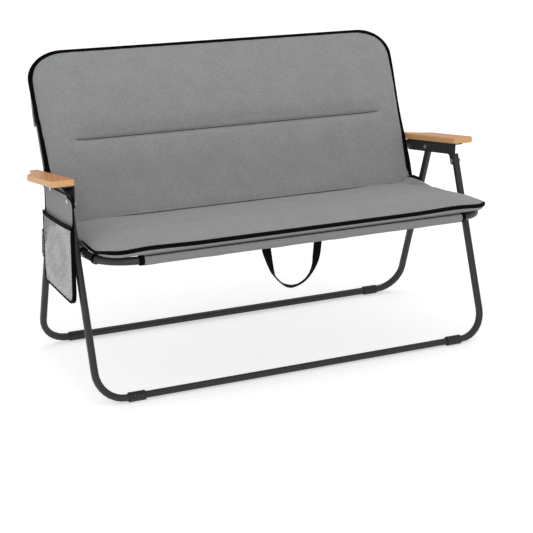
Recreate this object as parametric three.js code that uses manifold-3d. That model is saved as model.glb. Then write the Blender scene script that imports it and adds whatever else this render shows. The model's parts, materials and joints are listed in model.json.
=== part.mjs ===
// A folding camping loveseat for two: two leg frames, a seat frame and a back frame of steel tube, joined
// at each side by an armrest bracket and a link plate, with a padded seat and back, a mesh side pocket and
// two webbing handles. Millimetres, X across the seat, Y to the back, Z up, floor at zero.
import * as THREE from "three";
import { mergeVertices } from "three/addons/utils/BufferGeometryUtils.js";
import Module from "manifold-3d";

const wasm = await Module();
wasm.setup();

// Legs, seen from the side: each leg leans by a run per rise from its floor rail.
const RAIL_HEIGHT = 12;
const FRONT_RAIL_Y = 2;
const REAR_RAIL_Y = 478.5;
const FRONT_LEAN_SHARE = 0.397;
const REAR_LEAN_SHARE = -0.305;
const FRONT_LEG_TOP = 497;
const REAR_LEG_TOP = 499;
const LEG_X = 579;
const LEG_SIZE = 18;
const LEG_CORNER = 6;
const LEG_BEND_RADIUS = 75;

// Pivots, by their height on the leg or on the back tube that carries them.
const ARM_FRONT_PIVOT_Z = 481.9;
const ARM_REAR_PIVOT_Z = 492.1;
const SEAT_PIVOT_Z = 362;
const LINK_PIVOT_Z = 296.8;
const BACK_FOOT_Y = 386;
const BACK_FOOT_Z = 356.1;
const BACK_LEAN = THREE.MathUtils.degToRad(25.9);
const HINGE_ABOVE_FOOT = 21.9;
const ARM_ABOVE_FOOT = 140;

// Seat frame.
const SEAT_TUBE_RADIUS = 10.5;
const SEAT_TUBE_X = 555.5;
const SEAT_FRONT_Y = -23;
const SEAT_FRONT_Z = 382.5;
const SEAT_CORNER_RADIUS = 100;
const SEAT_DIP_RADIUS = 260;
const FLAT_HALF_THICKNESS = 2.5;
const FLAT_HALF_HEIGHT = 14;
const FLAT_LENGTH = 46;
const FLAT_TAPER = 24;
const FLAT_TIP = 14;

// Back frame.
const BACK_TUBE_RADIUS = 9;
const BACK_TUBE_X = 547;
const BACK_TOP = 479;
const BACK_BOTTOM = -57;
const BACK_CORNER_RADIUS = 88;
const CROSS_RAIL_DROP = 33;
const CROSS_RAIL_RADIUS = 8;

// Fasteners.
const BOLT_RADIUS = 4;
const LINK_BOLT_RADIUS = 2.5;
const HEAD_RADIUS = 6.5;
const HEAD_HEIGHT = 2.8;
const COLLAR_RADIUS = 7;
const GAP = 0.3;
const OVERRUN = 5;
const SCREW_RADIUS = 2;
const SCREW_HEAD_RADIUS = 4;
const SCREW_HEAD_HEIGHT = 2;
const SCREW_LENGTH = 13;

// Tube ends.
const CAP_THICKNESS = 2.5;
const PLUG_DEPTH = 9;
const PLUG_HALF = 5.5;

// Ribbed feet clipped on the floor rails.
const FOOT_LENGTH = 45;
const FOOT_CENTRE_X = 477;
const FOOT_BORE = 11.2;
const FOOT_GROOVE_RADIUS = 12.2;
const FOOT_RIB_RADIUS = 13;
const FOOT_RIBS = 4;
const FOOT_SIDES = 12;
// How many flats stand for each round form, and steps for each curved outline.
const BORE_SIDES = 12;
const SCREW_SIDES = 10;
const TUBE_SIDES = 14;
const SLEEVE_SIDES = 28;
const OUTLINE_STEPS = 8;
const SMALL_CURVE_STEPS = 5;
const LUG_ARC_END = 1.9 * Math.PI;
// How far the cushion's underside stands off the sling, beyond the common gap.
const CUSHION_REST = 0.2;

// Armrest brackets, folded from steel sheet. The boards on them fall towards the rear.
const SHEET = 2.5;
const WEB_X = 566.8;
const ARM_UNDER_Z = 534;
const ARM_TILT = THREE.MathUtils.degToRad(8.8);
const BRACKET_FRONT_Y = 178;
const BRACKET_NECK_RISE = 14.8;
const BRACKET_REAR_DEPTH = 30;
const LUG_RADIUS = 11.5;
const BRACKET_NECK_Y = 213;
const BRACKET_FLANGE_WIDTH = 25.4;
const BRACKET_FLANGE_REAR = 440;
const HANGER_FRONT_Y = 215;
const HANGER_DEPTH = 34;

// Wooden armrests.
const ARM_THICKNESS = 16.6;
const ARM_INNER_X = 564;
const ARM_OUTER_X = 627.5;
const ARM_FRONT_Y = 175;
const ARM_REAR_Y = 503;
const ARM_NARROW = 26;
const ARM_CURVE_START = 397;
const ARM_CURVE_SHARES = [0.24, 0.54];
const ARM_CORNER = 9;
const ARM_EDGE = 2.5;
const ARM_SCREW_SHARES = [0.18, 0.8];

// Link plates outside the rear legs.
const LINK_X = 589;
const LINK_HALF_WIDTH = 10;

// Seat sling and its sleeves.
const CLOTH = 1.6;
const SLING_THICKNESS = 2.5;
const SLEEVE_HALF = 461.7;
const BAND_LENGTH = 13;
const SLING_REAR_Y = 352;
const SLING_REAR_Z = 342;
const SIDE_SLEEVE_START = 95;
const SIDE_SLEEVE_END = 250;
const SLEEVE_NOTCH = 16;

// Seat cushion: height of its middle line above the floor at set places along Y.
const SEAT_PAD_FRONT = -35;
const SEAT_PAD_REAR = 380;
// It just clears the legs in front, and the heads of the lower bolts behind.
const SEAT_PAD_TO_LEG = 8;
const SEAT_PAD_TO_TUBE = 11;
const SEAT_PAD_HALF_WIDTH = LEG_X - LEG_SIZE / 2 - SEAT_PAD_TO_LEG;
const SEAT_PAD_REAR_HALF_WIDTH = SEAT_TUBE_X - SEAT_TUBE_RADIUS - SEAT_PAD_TO_TUBE;
const SEAT_PAD_NARROW_START = 185;
const SEAT_PAD_NARROW_END = 235;
const SEAT_PAD_CORNER = 62;
const SEAT_PAD_CLEAR = 2;
const SEAT_PAD_RIM = 6;
const SEAT_PAD_EDGE_DROP = 13;
const SEAT_PAD_EDGE_WIDTH = 75;
const SEAT_PAD_LINE = [
  [-35, 415],
  [-24, 420.5],
  [20, 424.5],
  [100, 418],
  [200, 404.5],
  [300, 388.7],
  [345, 380],
  [366, 373.8],
  [380, 369.2],
];
const CHANNEL_DEPTH = 4;
const CHANNEL_WIDTH = 9;
const SEAT_CHANNEL_Y = 165;

// Back cushion: its depth in front of the tube centres, by distance up the back from the lower bolt.
const BACK_PAD_BOTTOM = 16;
const BACK_PAD_TOP = 491;
const BACK_PAD_REAR = 9.6;
const BACK_PAD_EDGE = 17;
const BACK_PAD_EDGE_WIDTH = 80;
const BACK_PAD_LINE = [
  [16, 11.2],
  [45, 11.2],
  [70, 12.4],
  [100, 18],
  [130, 26],
  [168, 37.5],
  [218, 48],
  [260, 52],
  [350, 50],
  [430, 39],
  [478, 24],
  [491, 17],
];
const BACK_WIDTH_LINE = [
  [16, 541],
  [130, 546],
  [260, 556],
  [400, 564],
  [491, 564],
];
const BACK_PAD_CORNER = 92;
const BACK_CHANNEL = 234;

// Rear cover of the back.
const COVER_REAR = 12.2;
const COVER_EASE = 4;
const COVER_HALF = BACK_TUBE_X + BACK_TUBE_RADIUS + COVER_EASE;
const COVER_RIM = 2.6;
const COVER_CORNER = 88;
const COVER_NOTCH_LOW = 107;
const COVER_NOTCH_HIGH = 167;
const COVER_NOTCH_X = 473;
const COVER_SIDE_LOW = 47.5;
const SLEEVE_SHORT_OF_TUBE = 37;
const COVER_SLEEVE_HALF = BACK_TUBE_X - SLEEVE_SHORT_OF_TUBE;
const COVER_DIAGONAL_LOW = 16;

// Side pocket.
const POCKET_X = -596.2;
const POCKET_GAP = 6.5;
const POCKET_TOP = 520;
const POCKET_TOP_REAR = 506;
const POCKET_BOTTOM = 241;
const POCKET_FRONT_Y = 100;
const POCKET_REAR_Y = 334;
const POCKET_MOUTH_FRONT = 447;
const POCKET_MOUTH_REAR = 431;
const POCKET_TOP_CORNER = 24;
const POCKET_CORNER = 34;
const BINDING_WIDTH = 7;
const STUD_HEIGHT = 504;
const STUD_INSET = 45;
const STUD_SPACING = 136;
const STUD_RADIUS = 5.5;
const STUD_POST = 1.8;
const POCKET_TAB_FRONT = 132;

// Webbing handles: X across and height of each point, and how far the webbing is turned edge on there.
const WEBBING_WIDTH = 25;
const WEBBING_THICKNESS = 2;
const HANDLE_STEPS = 2;
const SEAT_HANDLE_Y = 70;
const SEAT_HANDLE = [
  [-80, 370, 15],
  [-80, 336, 30],
  [-73, 305, 60],
  [-65, 278, 80],
  [-59, 262, 90],
  [-47, 247, 90],
  [-35, 235, 85],
  [-14, 223, 60],
  [0, 220, 50],
  [15, 222, 50],
  [36, 232, 45],
  [53, 250, 40],
  [65, 274, 25],
  [70, 300, 5],
  [73, 336, 0],
  [73, 370, 0],
];
const BACK_HANDLE_UP = 291;
const BACK_HANDLE_BULGE = 14;
const BACK_HANDLE = [
  [-119, 12, 0],
  [-111, -12, 0],
  [-99, -28, 0],
  [-77, -53, 15],
  [-54, -78, 45],
  [-27, -90, 55],
  [0, -93, 55],
  [32, -88, 60],
  [62, -74, 65],
  [92, -44, 55],
  [108, -18, 25],
  [119, 12, 0],
];

const paint = new THREE.MeshStandardMaterial({ color: 0x2c2d2e, roughness: 0.55, metalness: 0.6 });
const zinc = new THREE.MeshStandardMaterial({ color: 0xc9cbcc, roughness: 0.3, metalness: 1 });
const plastic = new THREE.MeshStandardMaterial({ color: 0x161616, roughness: 0.6, metalness: 0 });
const wood = new THREE.MeshStandardMaterial({ color: 0xd09a62, roughness: 0.5, metalness: 0 });
const greyCloth = new THREE.MeshStandardMaterial({ color: 0x8b8c8e, roughness: 0.95, metalness: 0 });
const coverCloth = new THREE.MeshStandardMaterial({ color: 0x85868a, roughness: 0.95, metalness: 0 });
const blackCloth = new THREE.MeshStandardMaterial({ color: 0x101010, roughness: 0.9, metalness: 0 });
const netCloth = new THREE.MeshStandardMaterial({ color: 0xa5a7a9, roughness: 0.9, metalness: 0 });

const at = (x, y, z) => new THREE.Vector3(x, y, z);

// A smooth reading of a table of places and values.
function read(table, place) {
  const last = table.length - 1;
  if (place <= table[0][0]) return table[0][1];
  if (place >= table[last][0]) return table[last][1];
  const i = table.findIndex((row) => row[0] >= place) - 1;
  const [a, b] = [table[i], table[i + 1]];
  const share = (place - a[0]) / (b[0] - a[0]);
  const slope = (k) => {
    const [low, high] = [table[Math.max(0, k - 1)], table[Math.min(last, k + 1)]];
    return (high[1] - low[1]) / (high[0] - low[0]);
  };
  const run = b[0] - a[0];
  const [s, s2, s3] = [share, share ** 2, share ** 3];
  const straight = (2 * s3 - 3 * s2 + 1) * a[1] + (3 * s2 - 2 * s3) * b[1];
  return straight + run * ((s3 - 2 * s2 + s) * slope(i) + (s3 - s2) * slope(i + 1));
}

// A closed geometry as a solid that can be joined and cut, and back again.
function solidOf(geometry) {
  const bare = geometry.clone();
  bare.deleteAttribute("normal");
  bare.deleteAttribute("uv");
  const merged = mergeVertices(bare, 1e-3);
  const vertProperties = merged.attributes.position.array;
  const triVerts = new Uint32Array(merged.index.array);
  return new wasm.Manifold(new wasm.Mesh({ numProp: 3, vertProperties, triVerts }));
}

function geometryOf(solid) {
  const mesh = solid.getMesh();
  const geometry = new THREE.BufferGeometry();
  geometry.setAttribute("position", new THREE.BufferAttribute(new Float32Array(mesh.vertProperties), 3));
  geometry.setIndex(new THREE.BufferAttribute(mesh.triVerts, 1));
  geometry.computeVertexNormals();
  return geometry;
}

function join(...geometries) {
  return geometryOf(geometries.map(solidOf).reduce((whole, piece) => whole.add(piece)));
}

function cut(geometry, ...tools) {
  return geometryOf(tools.map(solidOf).reduce((whole, tool) => whole.subtract(tool), solidOf(geometry)));
}

// A route with its own points, and sections that keep one direction across it.
class Route extends THREE.Curve {
  constructor(points, across) {
    super();
    this.points = points;
    this.across = across;
  }

  getSpacedPoints() {
    return this.points;
  }

  computeFrenetFrames() {
    const { points } = this;
    const last = points.length - 1;
    const tangents = points.map((point, i) => {
      const ahead = points[Math.min(last, i + 1)].clone().sub(point).normalize();
      const behind = point.clone().sub(points[Math.max(0, i - 1)]).normalize();
      return ahead.add(behind).normalize();
    });
    let normal = this.across;
    const normals = tangents.map((tangent) => {
      normal = normal.clone().addScaledVector(tangent, -normal.dot(tangent)).normalize();
      return normal;
    });
    const binormals = tangents.map((tangent, i) => tangent.clone().cross(normals[i]));
    return { tangents, normals, binormals };
  }
}

function sweep(section, points, across, curveSegments) {
  const extrudePath = new Route(points, across);
  return new THREE.ExtrudeGeometry(section, { steps: points.length - 1, extrudePath, curveSegments });
}

// Straight runs between corners, with an arc round each corner between the first and the last.
function rounded(corners, radii, steps) {
  const points = [corners[0]];
  corners.slice(1, -1).forEach((corner, i) => {
    const before = corners[i].clone().sub(corner).normalize();
    const after = corners[i + 2].clone().sub(corner).normalize();
    const half = before.angleTo(after) / 2;
    const middle = before.clone().add(after).normalize();
    const centre = corner.clone().addScaledVector(middle, radii[i] / Math.sin(half));
    const start = corner.clone().addScaledVector(before, radii[i] / Math.tan(half)).sub(centre);
    const axis = before.clone().cross(start).normalize();
    for (let k = 0; k <= steps; k += 1) {
      const turned = start.clone().applyAxisAngle(axis, ((Math.PI - 2 * half) * k) / steps);
      points.push(turned.add(centre));
    }
  });
  points.push(corners[corners.length - 1]);
  return points;
}

// Rings of points, as many in each, skinned in order and closed flat at both ends.
function loft(rings) {
  const count = rings[0].length;
  const points = rings.flat();
  const faces = [];
  for (let r = 0; r + 1 < rings.length; r += 1)
    for (let k = 0; k < count; k += 1) {
      const [a, b] = [r * count + k, r * count + ((k + 1) % count)];
      faces.push(a, b, b + count, a, b + count, a + count);
    }
  const close = (ring, start, flip) => {
    const middle = ring.reduce((sum, point) => sum.add(point), at(0, 0, 0)).divideScalar(count);
    const hub = points.push(middle) - 1;
    for (let k = 0; k < count; k += 1) {
      const [a, b] = [start + k, start + ((k + 1) % count)];
      faces.push(...(flip ? [hub, b, a] : [hub, a, b]));
    }
  };
  close(rings[0], 0, true);
  close(rings[rings.length - 1], (rings.length - 1) * count, false);
  const corner = (i) => points[faces[i]];
  let volume = 0;
  for (let i = 0; i < faces.length; i += 3) {
    volume += corner(i).dot(corner(i + 1).clone().cross(corner(i + 2)));
  }
  if (volume < 0) faces.reverse();
  return new THREE.BufferGeometry().setFromPoints(points).setIndex(faces);
}

function roundedSquare(size, corner) {
  const [h, c] = [size / 2, size / 2 - corner];
  const shape = new THREE.Shape();
  const quarter = Math.PI / 2;
  shape.moveTo(h, -c);
  shape.lineTo(h, c);
  shape.absarc(c, c, corner, 0, quarter);
  shape.lineTo(-c, h);
  shape.absarc(-c, c, corner, quarter, 2 * quarter);
  shape.lineTo(-h, -c);
  shape.absarc(-c, -c, corner, 2 * quarter, 3 * quarter);
  shape.lineTo(c, -h);
  shape.absarc(c, -c, corner, 3 * quarter, 4 * quarter);
  return shape;
}

function circle(radius) {
  const shape = new THREE.Shape();
  shape.absarc(0, 0, radius, 0, 2 * Math.PI);
  return shape;
}

// A cylinder along X between two places, centred on a point of the side view.
function rod(radius, from, to, point, sides = BORE_SIDES) {
  const geometry = new THREE.CylinderGeometry(radius, radius, to - from, sides);
  return geometry.rotateZ(Math.PI / 2).translate((from + to) / 2, point.y, point.z);
}

// A flat sheet whose outline is drawn in the side view, standing between two places along X.
function sideSheet(shape, from, to, curveSegments = OUTLINE_STEPS) {
  const geometry = new THREE.ExtrudeGeometry(shape, { depth: to - from, bevelEnabled: false, curveSegments });
  return geometry.rotateZ(Math.PI / 2).rotateY(Math.PI / 2).translate(from, 0, 0);
}

// Where the pivots are.
const onFrontLeg = (z) => at(0, FRONT_RAIL_Y + FRONT_LEAN_SHARE * (z - RAIL_HEIGHT), z);
const onRearLeg = (z) => at(0, REAR_RAIL_Y + REAR_LEAN_SHARE * (z - RAIL_HEIGHT), z);
const upBack = at(0, Math.sin(BACK_LEAN), Math.cos(BACK_LEAN));
const aheadOfBack = at(0, -Math.cos(BACK_LEAN), Math.sin(BACK_LEAN));
const backFoot = at(0, BACK_FOOT_Y, BACK_FOOT_Z);
const onBack = (up, ahead = 0) =>
  backFoot.clone().addScaledVector(upBack, up).addScaledVector(aheadOfBack, ahead);
const pivot = {
  armFront: onFrontLeg(ARM_FRONT_PIVOT_Z),
  armRear: onRearLeg(ARM_REAR_PIVOT_Z),
  seatFront: onFrontLeg(SEAT_PIVOT_Z),
  linkLow: onRearLeg(LINK_PIVOT_Z),
  linkHigh: onBack(0),
  seatRear: onBack(HINGE_ABOVE_FOOT),
  backArm: onBack(ARM_ABOVE_FOOT),
};
const across = at(1, 0, 0);
const shifted = (point, x) => at(x, point.y, point.z);
const mirrored = (point) => at(-point.x, point.y, point.z);

const loveseat = new THREE.Group();
const hands = { left: new THREE.Group(), right: new THREE.Group() };
hands.left.scale.x = -1;
loveseat.add(hands.left, hands.right);

function add(name, geometry, material, parent = loveseat) {
  const mesh = new THREE.Mesh(geometry, material);
  mesh.name = name;
  parent.add(mesh);
  return mesh;
}

// The same piece on both sides: built for the right one, mirrored for the left.
function addPair(name, geometry, material) {
  Object.entries(hands).forEach(([hand, group]) => add(name + "_" + hand, geometry, material, group));
}

function boltHoles(points, from, to) {
  return points.flatMap((point) => [
    rod(BOLT_RADIUS + GAP, from, to, point),
    rod(BOLT_RADIUS + GAP, -to, -from, point),
  ]);
}

// Leg frames: one bent tube each, with sockets for the end caps and holes for the bolts.
function legFrame(onLeg, top, pivots) {
  const foot = onLeg(RAIL_HEIGHT);
  const head = onLeg(top);
  const corners = [
    shifted(head, LEG_X),
    shifted(foot, LEG_X),
    shifted(foot, -LEG_X),
    shifted(head, -LEG_X),
  ];
  const route = rounded(corners, [LEG_BEND_RADIUS, LEG_BEND_RADIUS], OUTLINE_STEPS);
  const up = head.clone().sub(foot).normalize();
  const tube = sweep(roundedSquare(LEG_SIZE, LEG_CORNER), route, up.clone().cross(across), 2);
  const socket = (side) => {
    const centre = shifted(head, side * LEG_X).addScaledVector(up, -PLUG_DEPTH / 2);
    const size = 2 * (PLUG_HALF + GAP);
    const box = new THREE.BoxGeometry(size, size, PLUG_DEPTH + 2 * GAP);
    return box.rotateX(-Math.atan2(up.y, up.z)).translate(centre.x, centre.y, centre.z);
  };
  const from = LEG_X - LEG_SIZE / 2 - OVERRUN;
  const holes = boltHoles(pivots, from, from + LEG_SIZE + 2 * OVERRUN);
  return cut(tube, socket(1), socket(-1), ...holes);
}

add("front_leg_frame", legFrame(onFrontLeg, FRONT_LEG_TOP, [pivot.armFront, pivot.seatFront]), paint);
add("rear_leg_frame", legFrame(onRearLeg, REAR_LEG_TOP, [pivot.armRear, pivot.linkLow]), paint);

// Plastic caps: a lid on the tube's end with a plug in its socket.
function legCap() {
  const lid = new THREE.ExtrudeGeometry(roundedSquare(LEG_SIZE, LEG_CORNER), {
    depth: CAP_THICKNESS,
    bevelEnabled: false,
    curveSegments: 2,
  });
  const plug = new THREE.BoxGeometry(2 * PLUG_HALF, 2 * PLUG_HALF, PLUG_DEPTH);
  return join(lid.translate(0, 0, GAP), plug.translate(0, 0, GAP + CAP_THICKNESS / 2 - PLUG_DEPTH / 2));
}

[
  ["front_leg_cap", onFrontLeg(FRONT_LEG_TOP), onFrontLeg(RAIL_HEIGHT)],
  ["rear_leg_cap", onRearLeg(REAR_LEG_TOP), onRearLeg(RAIL_HEIGHT)],
].forEach(([name, head, foot]) => {
  const lean = Math.atan2(head.y - foot.y, head.z - foot.z);
  const cap = legCap().rotateX(-lean).translate(LEG_X, head.y, head.z);
  const bolts = [pivot.armFront, pivot.armRear].map((point) =>
    rod(BOLT_RADIUS + GAP, LEG_X - LEG_SIZE, LEG_X + LEG_SIZE, point, BORE_SIDES),
  );
  addPair(name, cut(cap, ...bolts), plastic);
});

// Feet: ribbed sleeves with a flat sole.
function footSleeve() {
  const half = FOOT_LENGTH / 2;
  const profile = [new THREE.Vector2(FOOT_BORE, -half)];
  const pitch = FOOT_LENGTH / (2 * FOOT_RIBS + 1);
  for (let i = 0; i <= 2 * FOOT_RIBS; i += 1) {
    const radius = i % 2 ? FOOT_GROOVE_RADIUS : FOOT_RIB_RADIUS;
    profile.push(new THREE.Vector2(radius, -half + i * pitch));
    profile.push(new THREE.Vector2(radius, -half + (i + 1) * pitch));
  }
  profile.push(new THREE.Vector2(FOOT_BORE, half), new THREE.Vector2(FOOT_BORE, -half));
  const sleeve = new THREE.LatheGeometry(profile, FOOT_SIDES).rotateZ(Math.PI / 2);
  const ground = new THREE.BoxGeometry(2 * FOOT_LENGTH, 4 * FOOT_RIB_RADIUS, 2 * OVERRUN);
  return cut(sleeve, ground.translate(0, 0, -RAIL_HEIGHT - OVERRUN));
}

["front", "rear"].forEach((place) => {
  const y = place === "front" ? FRONT_RAIL_Y : REAR_RAIL_Y;
  addPair("foot_" + place, footSleeve().translate(FOOT_CENTRE_X, y, RAIL_HEIGHT), plastic);
});

// Seat frame: a bent tube whose two rear ends are pressed flat, level with its outer face.
function seatRoute() {
  const front = at(SEAT_TUBE_X, SEAT_FRONT_Y, SEAT_FRONT_Z);
  const dip = shifted(pivot.seatFront, SEAT_TUBE_X);
  const rear = shifted(pivot.seatRear, SEAT_TUBE_X);
  const back = rear.clone().sub(dip).normalize();
  const tip = rear.clone().addScaledVector(back, FLAT_TIP);
  const flatStart = rear.clone().addScaledVector(back, -FLAT_LENGTH);
  const taperStart = flatStart.clone().addScaledVector(back, -FLAT_TAPER);
  const half = rounded(
    [taperStart, dip, front, mirrored(front)],
    [SEAT_DIP_RADIUS, SEAT_CORNER_RADIUS],
    9,
  ).slice(0, -1);
  const ends = [tip, rear, flatStart];
  const right = [...ends, ...half];
  return [...right, ...right.map(mirrored).reverse()];
}

function seatTube() {
  const route = seatRoute();
  const frames = new Route(route, across).computeFrenetFrames();
  const last = route.length - 1;
  const sides = TUBE_SIDES;
  const rings = route.map((point, i) => {
    const fromEnd = Math.min(i, last - i);
    const flat = fromEnd < 3;
    const halfX = flat ? FLAT_HALF_THICKNESS : SEAT_TUBE_RADIUS;
    const halfZ = flat ? FLAT_HALF_HEIGHT * (fromEnd === 0 ? 0.5 : 1) : SEAT_TUBE_RADIUS;
    const outward = flat ? Math.sign(point.x) * (SEAT_TUBE_RADIUS - FLAT_HALF_THICKNESS) : 0;
    const ring = [];
    for (let k = 0; k < sides; k += 1) {
      const turn = (2 * Math.PI * k) / sides;
      const spot = point.clone().addScaledVector(frames.normals[i], halfX * Math.cos(turn));
      spot.addScaledVector(frames.binormals[i], halfZ * Math.sin(turn));
      spot.x += outward;
      ring.push(spot);
    }
    return ring;
  });
  return loft(rings);
}

const seatHoles = [
  ...boltHoles([pivot.seatFront], SEAT_TUBE_X - 2 * SEAT_TUBE_RADIUS, SEAT_TUBE_X + 2 * SEAT_TUBE_RADIUS),
  ...boltHoles([pivot.seatRear], SEAT_TUBE_X, SEAT_TUBE_X + 2 * SEAT_TUBE_RADIUS),
];
add("seat_frame", cut(seatTube(), ...seatHoles), paint);

// Back frame: a bent tube open at its lower ends, with a cross rail near them.
function backFrame() {
  const corners = [
    shifted(onBack(BACK_BOTTOM), BACK_TUBE_X),
    shifted(onBack(BACK_TOP), BACK_TUBE_X),
    shifted(onBack(BACK_TOP), -BACK_TUBE_X),
    shifted(onBack(BACK_BOTTOM), -BACK_TUBE_X),
  ];
  const route = rounded(corners, [BACK_CORNER_RADIUS, BACK_CORNER_RADIUS], OUTLINE_STEPS);
  const hoop = sweep(circle(BACK_TUBE_RADIUS), route, aheadOfBack, TUBE_SIDES);
  const rail = rod(CROSS_RAIL_RADIUS, -BACK_TUBE_X, BACK_TUBE_X, onBack(-CROSS_RAIL_DROP), TUBE_SIDES);
  const socket = (side) => {
    const bore = PLUG_HALF + GAP;
    const deep = new THREE.CylinderGeometry(bore, bore, PLUG_DEPTH + 2 * GAP, BORE_SIDES);
    const centre = shifted(onBack(BACK_BOTTOM + PLUG_DEPTH / 2), side * BACK_TUBE_X);
    return deep.rotateX(Math.PI / 2 - BACK_LEAN).translate(centre.x, centre.y, centre.z);
  };
  const from = BACK_TUBE_X - BACK_TUBE_RADIUS - OVERRUN;
  const to = BACK_TUBE_X + BACK_TUBE_RADIUS + OVERRUN;
  const holes = boltHoles([pivot.backArm, pivot.seatRear, pivot.linkHigh], from, to);
  return cut(join(hoop, rail), socket(1), socket(-1), ...holes);
}

add("back_frame", backFrame(), paint);

function backCap() {
  const lid = new THREE.CylinderGeometry(BACK_TUBE_RADIUS, BACK_TUBE_RADIUS - 1, CAP_THICKNESS, TUBE_SIDES);
  const plug = new THREE.CylinderGeometry(PLUG_HALF, PLUG_HALF, PLUG_DEPTH, BORE_SIDES);
  const capped = join(
    lid.translate(0, -GAP - CAP_THICKNESS / 2, 0),
    plug.translate(0, PLUG_DEPTH / 2 - GAP - CAP_THICKNESS / 2, 0),
  );
  const end = onBack(BACK_BOTTOM);
  return capped.rotateX(Math.PI / 2 - BACK_LEAN).translate(BACK_TUBE_X, end.y, end.z);
}

addPair("back_tube_cap", backCap(), plastic);

// Bolts and rivets: a shaft with a head at one or both ends and a spacing collar where two pieces part.
function bolt(point, { from, to, heads = [], collar, radius = BOLT_RADIUS }) {
  const pieces = [rod(radius, from, to, point)];
  heads.forEach(([start, end]) => pieces.push(rod(HEAD_RADIUS, start, end, point)));
  if (collar) pieces.push(rod(COLLAR_RADIUS, collar[0], collar[1], point));
  return join(...pieces);
}

const face = {
  seatInner: SEAT_TUBE_X - SEAT_TUBE_RADIUS,
  seatOuter: SEAT_TUBE_X + SEAT_TUBE_RADIUS,
  seatFlatInner: SEAT_TUBE_X + SEAT_TUBE_RADIUS - 2 * FLAT_HALF_THICKNESS,
  backInner: BACK_TUBE_X - BACK_TUBE_RADIUS,
  backOuter: BACK_TUBE_X + BACK_TUBE_RADIUS,
  webInner: WEB_X,
  webOuter: WEB_X + SHEET,
  legInner: LEG_X - LEG_SIZE / 2,
  legOuter: LEG_X + LEG_SIZE / 2,
  linkOuter: LINK_X + SHEET,
  hangerOuter: WEB_X + BRACKET_FLANGE_WIDTH,
};
const headBefore = (x) => [x - GAP - HEAD_HEIGHT, x - GAP];
const headAfter = (x) => [x + GAP, x + GAP + HEAD_HEIGHT];

function throughBolt(point, inner, outer) {
  const [before, after] = [headBefore(inner), headAfter(outer)];
  return bolt(point, { from: before[0], to: after[1], heads: [before, after] });
}

addPair("arm_front_bolt", throughBolt(pivot.armFront, face.webInner, face.legOuter), zinc);
addPair("arm_rear_bolt", throughBolt(pivot.armRear, face.webInner, face.hangerOuter), zinc);
addPair("link_lower_bolt", throughBolt(pivot.linkLow, face.legInner, face.linkOuter), zinc);
addPair(
  "arm_back_bolt",
  bolt(pivot.backArm, {
    from: face.backInner + GAP,
    to: headAfter(face.webOuter)[1],
    heads: [headAfter(face.webOuter)],
    collar: [face.backOuter + GAP, face.webInner - GAP],
  }),
  zinc,
);
addPair(
  "seat_back_bolt",
  bolt(pivot.seatRear, {
    from: face.backInner + GAP,
    to: face.seatOuter,
    collar: [face.backOuter + GAP, face.seatFlatInner - GAP],
  }),
  zinc,
);
addPair(
  "seat_leg_bolt",
  bolt(pivot.seatFront, {
    from: face.seatOuter + GAP,
    to: headAfter(face.legOuter)[1],
    heads: [headAfter(face.legOuter)],
    collar: [face.seatOuter + GAP, face.legInner - GAP],
  }),
  zinc,
);
addPair(
  "seat_leg_nut",
  bolt(pivot.seatFront, {
    from: headBefore(face.seatInner)[0],
    to: face.seatOuter,
    heads: [headBefore(face.seatInner)],
  }),
  zinc,
);
addPair(
  "link_upper_bolt",
  bolt(pivot.linkHigh, {
    from: face.seatOuter + GAP,
    to: headAfter(face.linkOuter)[1],
    heads: [headAfter(face.linkOuter)],
    radius: LINK_BOLT_RADIUS,
  }),
  zinc,
);
addPair(
  "link_upper_nut",
  bolt(pivot.linkHigh, {
    from: headBefore(face.backInner)[0],
    to: face.seatOuter,
    heads: [headBefore(face.backInner)],
  }),
  zinc,
);

// Link plates: flat bars with round ends.
function linkPlate() {
  const [low, high] = [pivot.linkLow, pivot.linkHigh];
  const length = high.clone().sub(low).length();
  const shape = new THREE.Shape();
  shape.absarc(0, 0, LINK_HALF_WIDTH, Math.PI, 2 * Math.PI);
  shape.absarc(0, length, LINK_HALF_WIDTH, 0, Math.PI);
  const bar = new THREE.ExtrudeGeometry(shape, {
    depth: SHEET,
    bevelEnabled: false,
    curveSegments: SMALL_CURVE_STEPS,
  });
  bar.rotateZ(Math.PI / 2).rotateY(Math.PI / 2);
  const turn = Math.atan2(-(high.y - low.y), high.z - low.z);
  const plate = bar.rotateX(turn).translate(LINK_X, low.y, low.z);
  const holes = [low, high].map((point) =>
    rod(BOLT_RADIUS + GAP, LINK_X - OVERRUN, face.linkOuter + OVERRUN, point),
  );
  return cut(plate, ...holes);
}

addPair("link_plate", linkPlate(), paint);

// Armrest brackets: a deep inner web with a lug at the front leg and an eye at the back tube, a flange under
// the wood and a short outer hanger.
const armUnder = (y) => ARM_UNDER_Z - (y - ARM_FRONT_Y) * Math.tan(ARM_TILT);
function tilted(geometry) {
  const level = geometry.translate(0, -ARM_FRONT_Y, -ARM_UNDER_Z).rotateX(-ARM_TILT);
  return level.translate(0, ARM_FRONT_Y, ARM_UNDER_Z);
}

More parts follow.
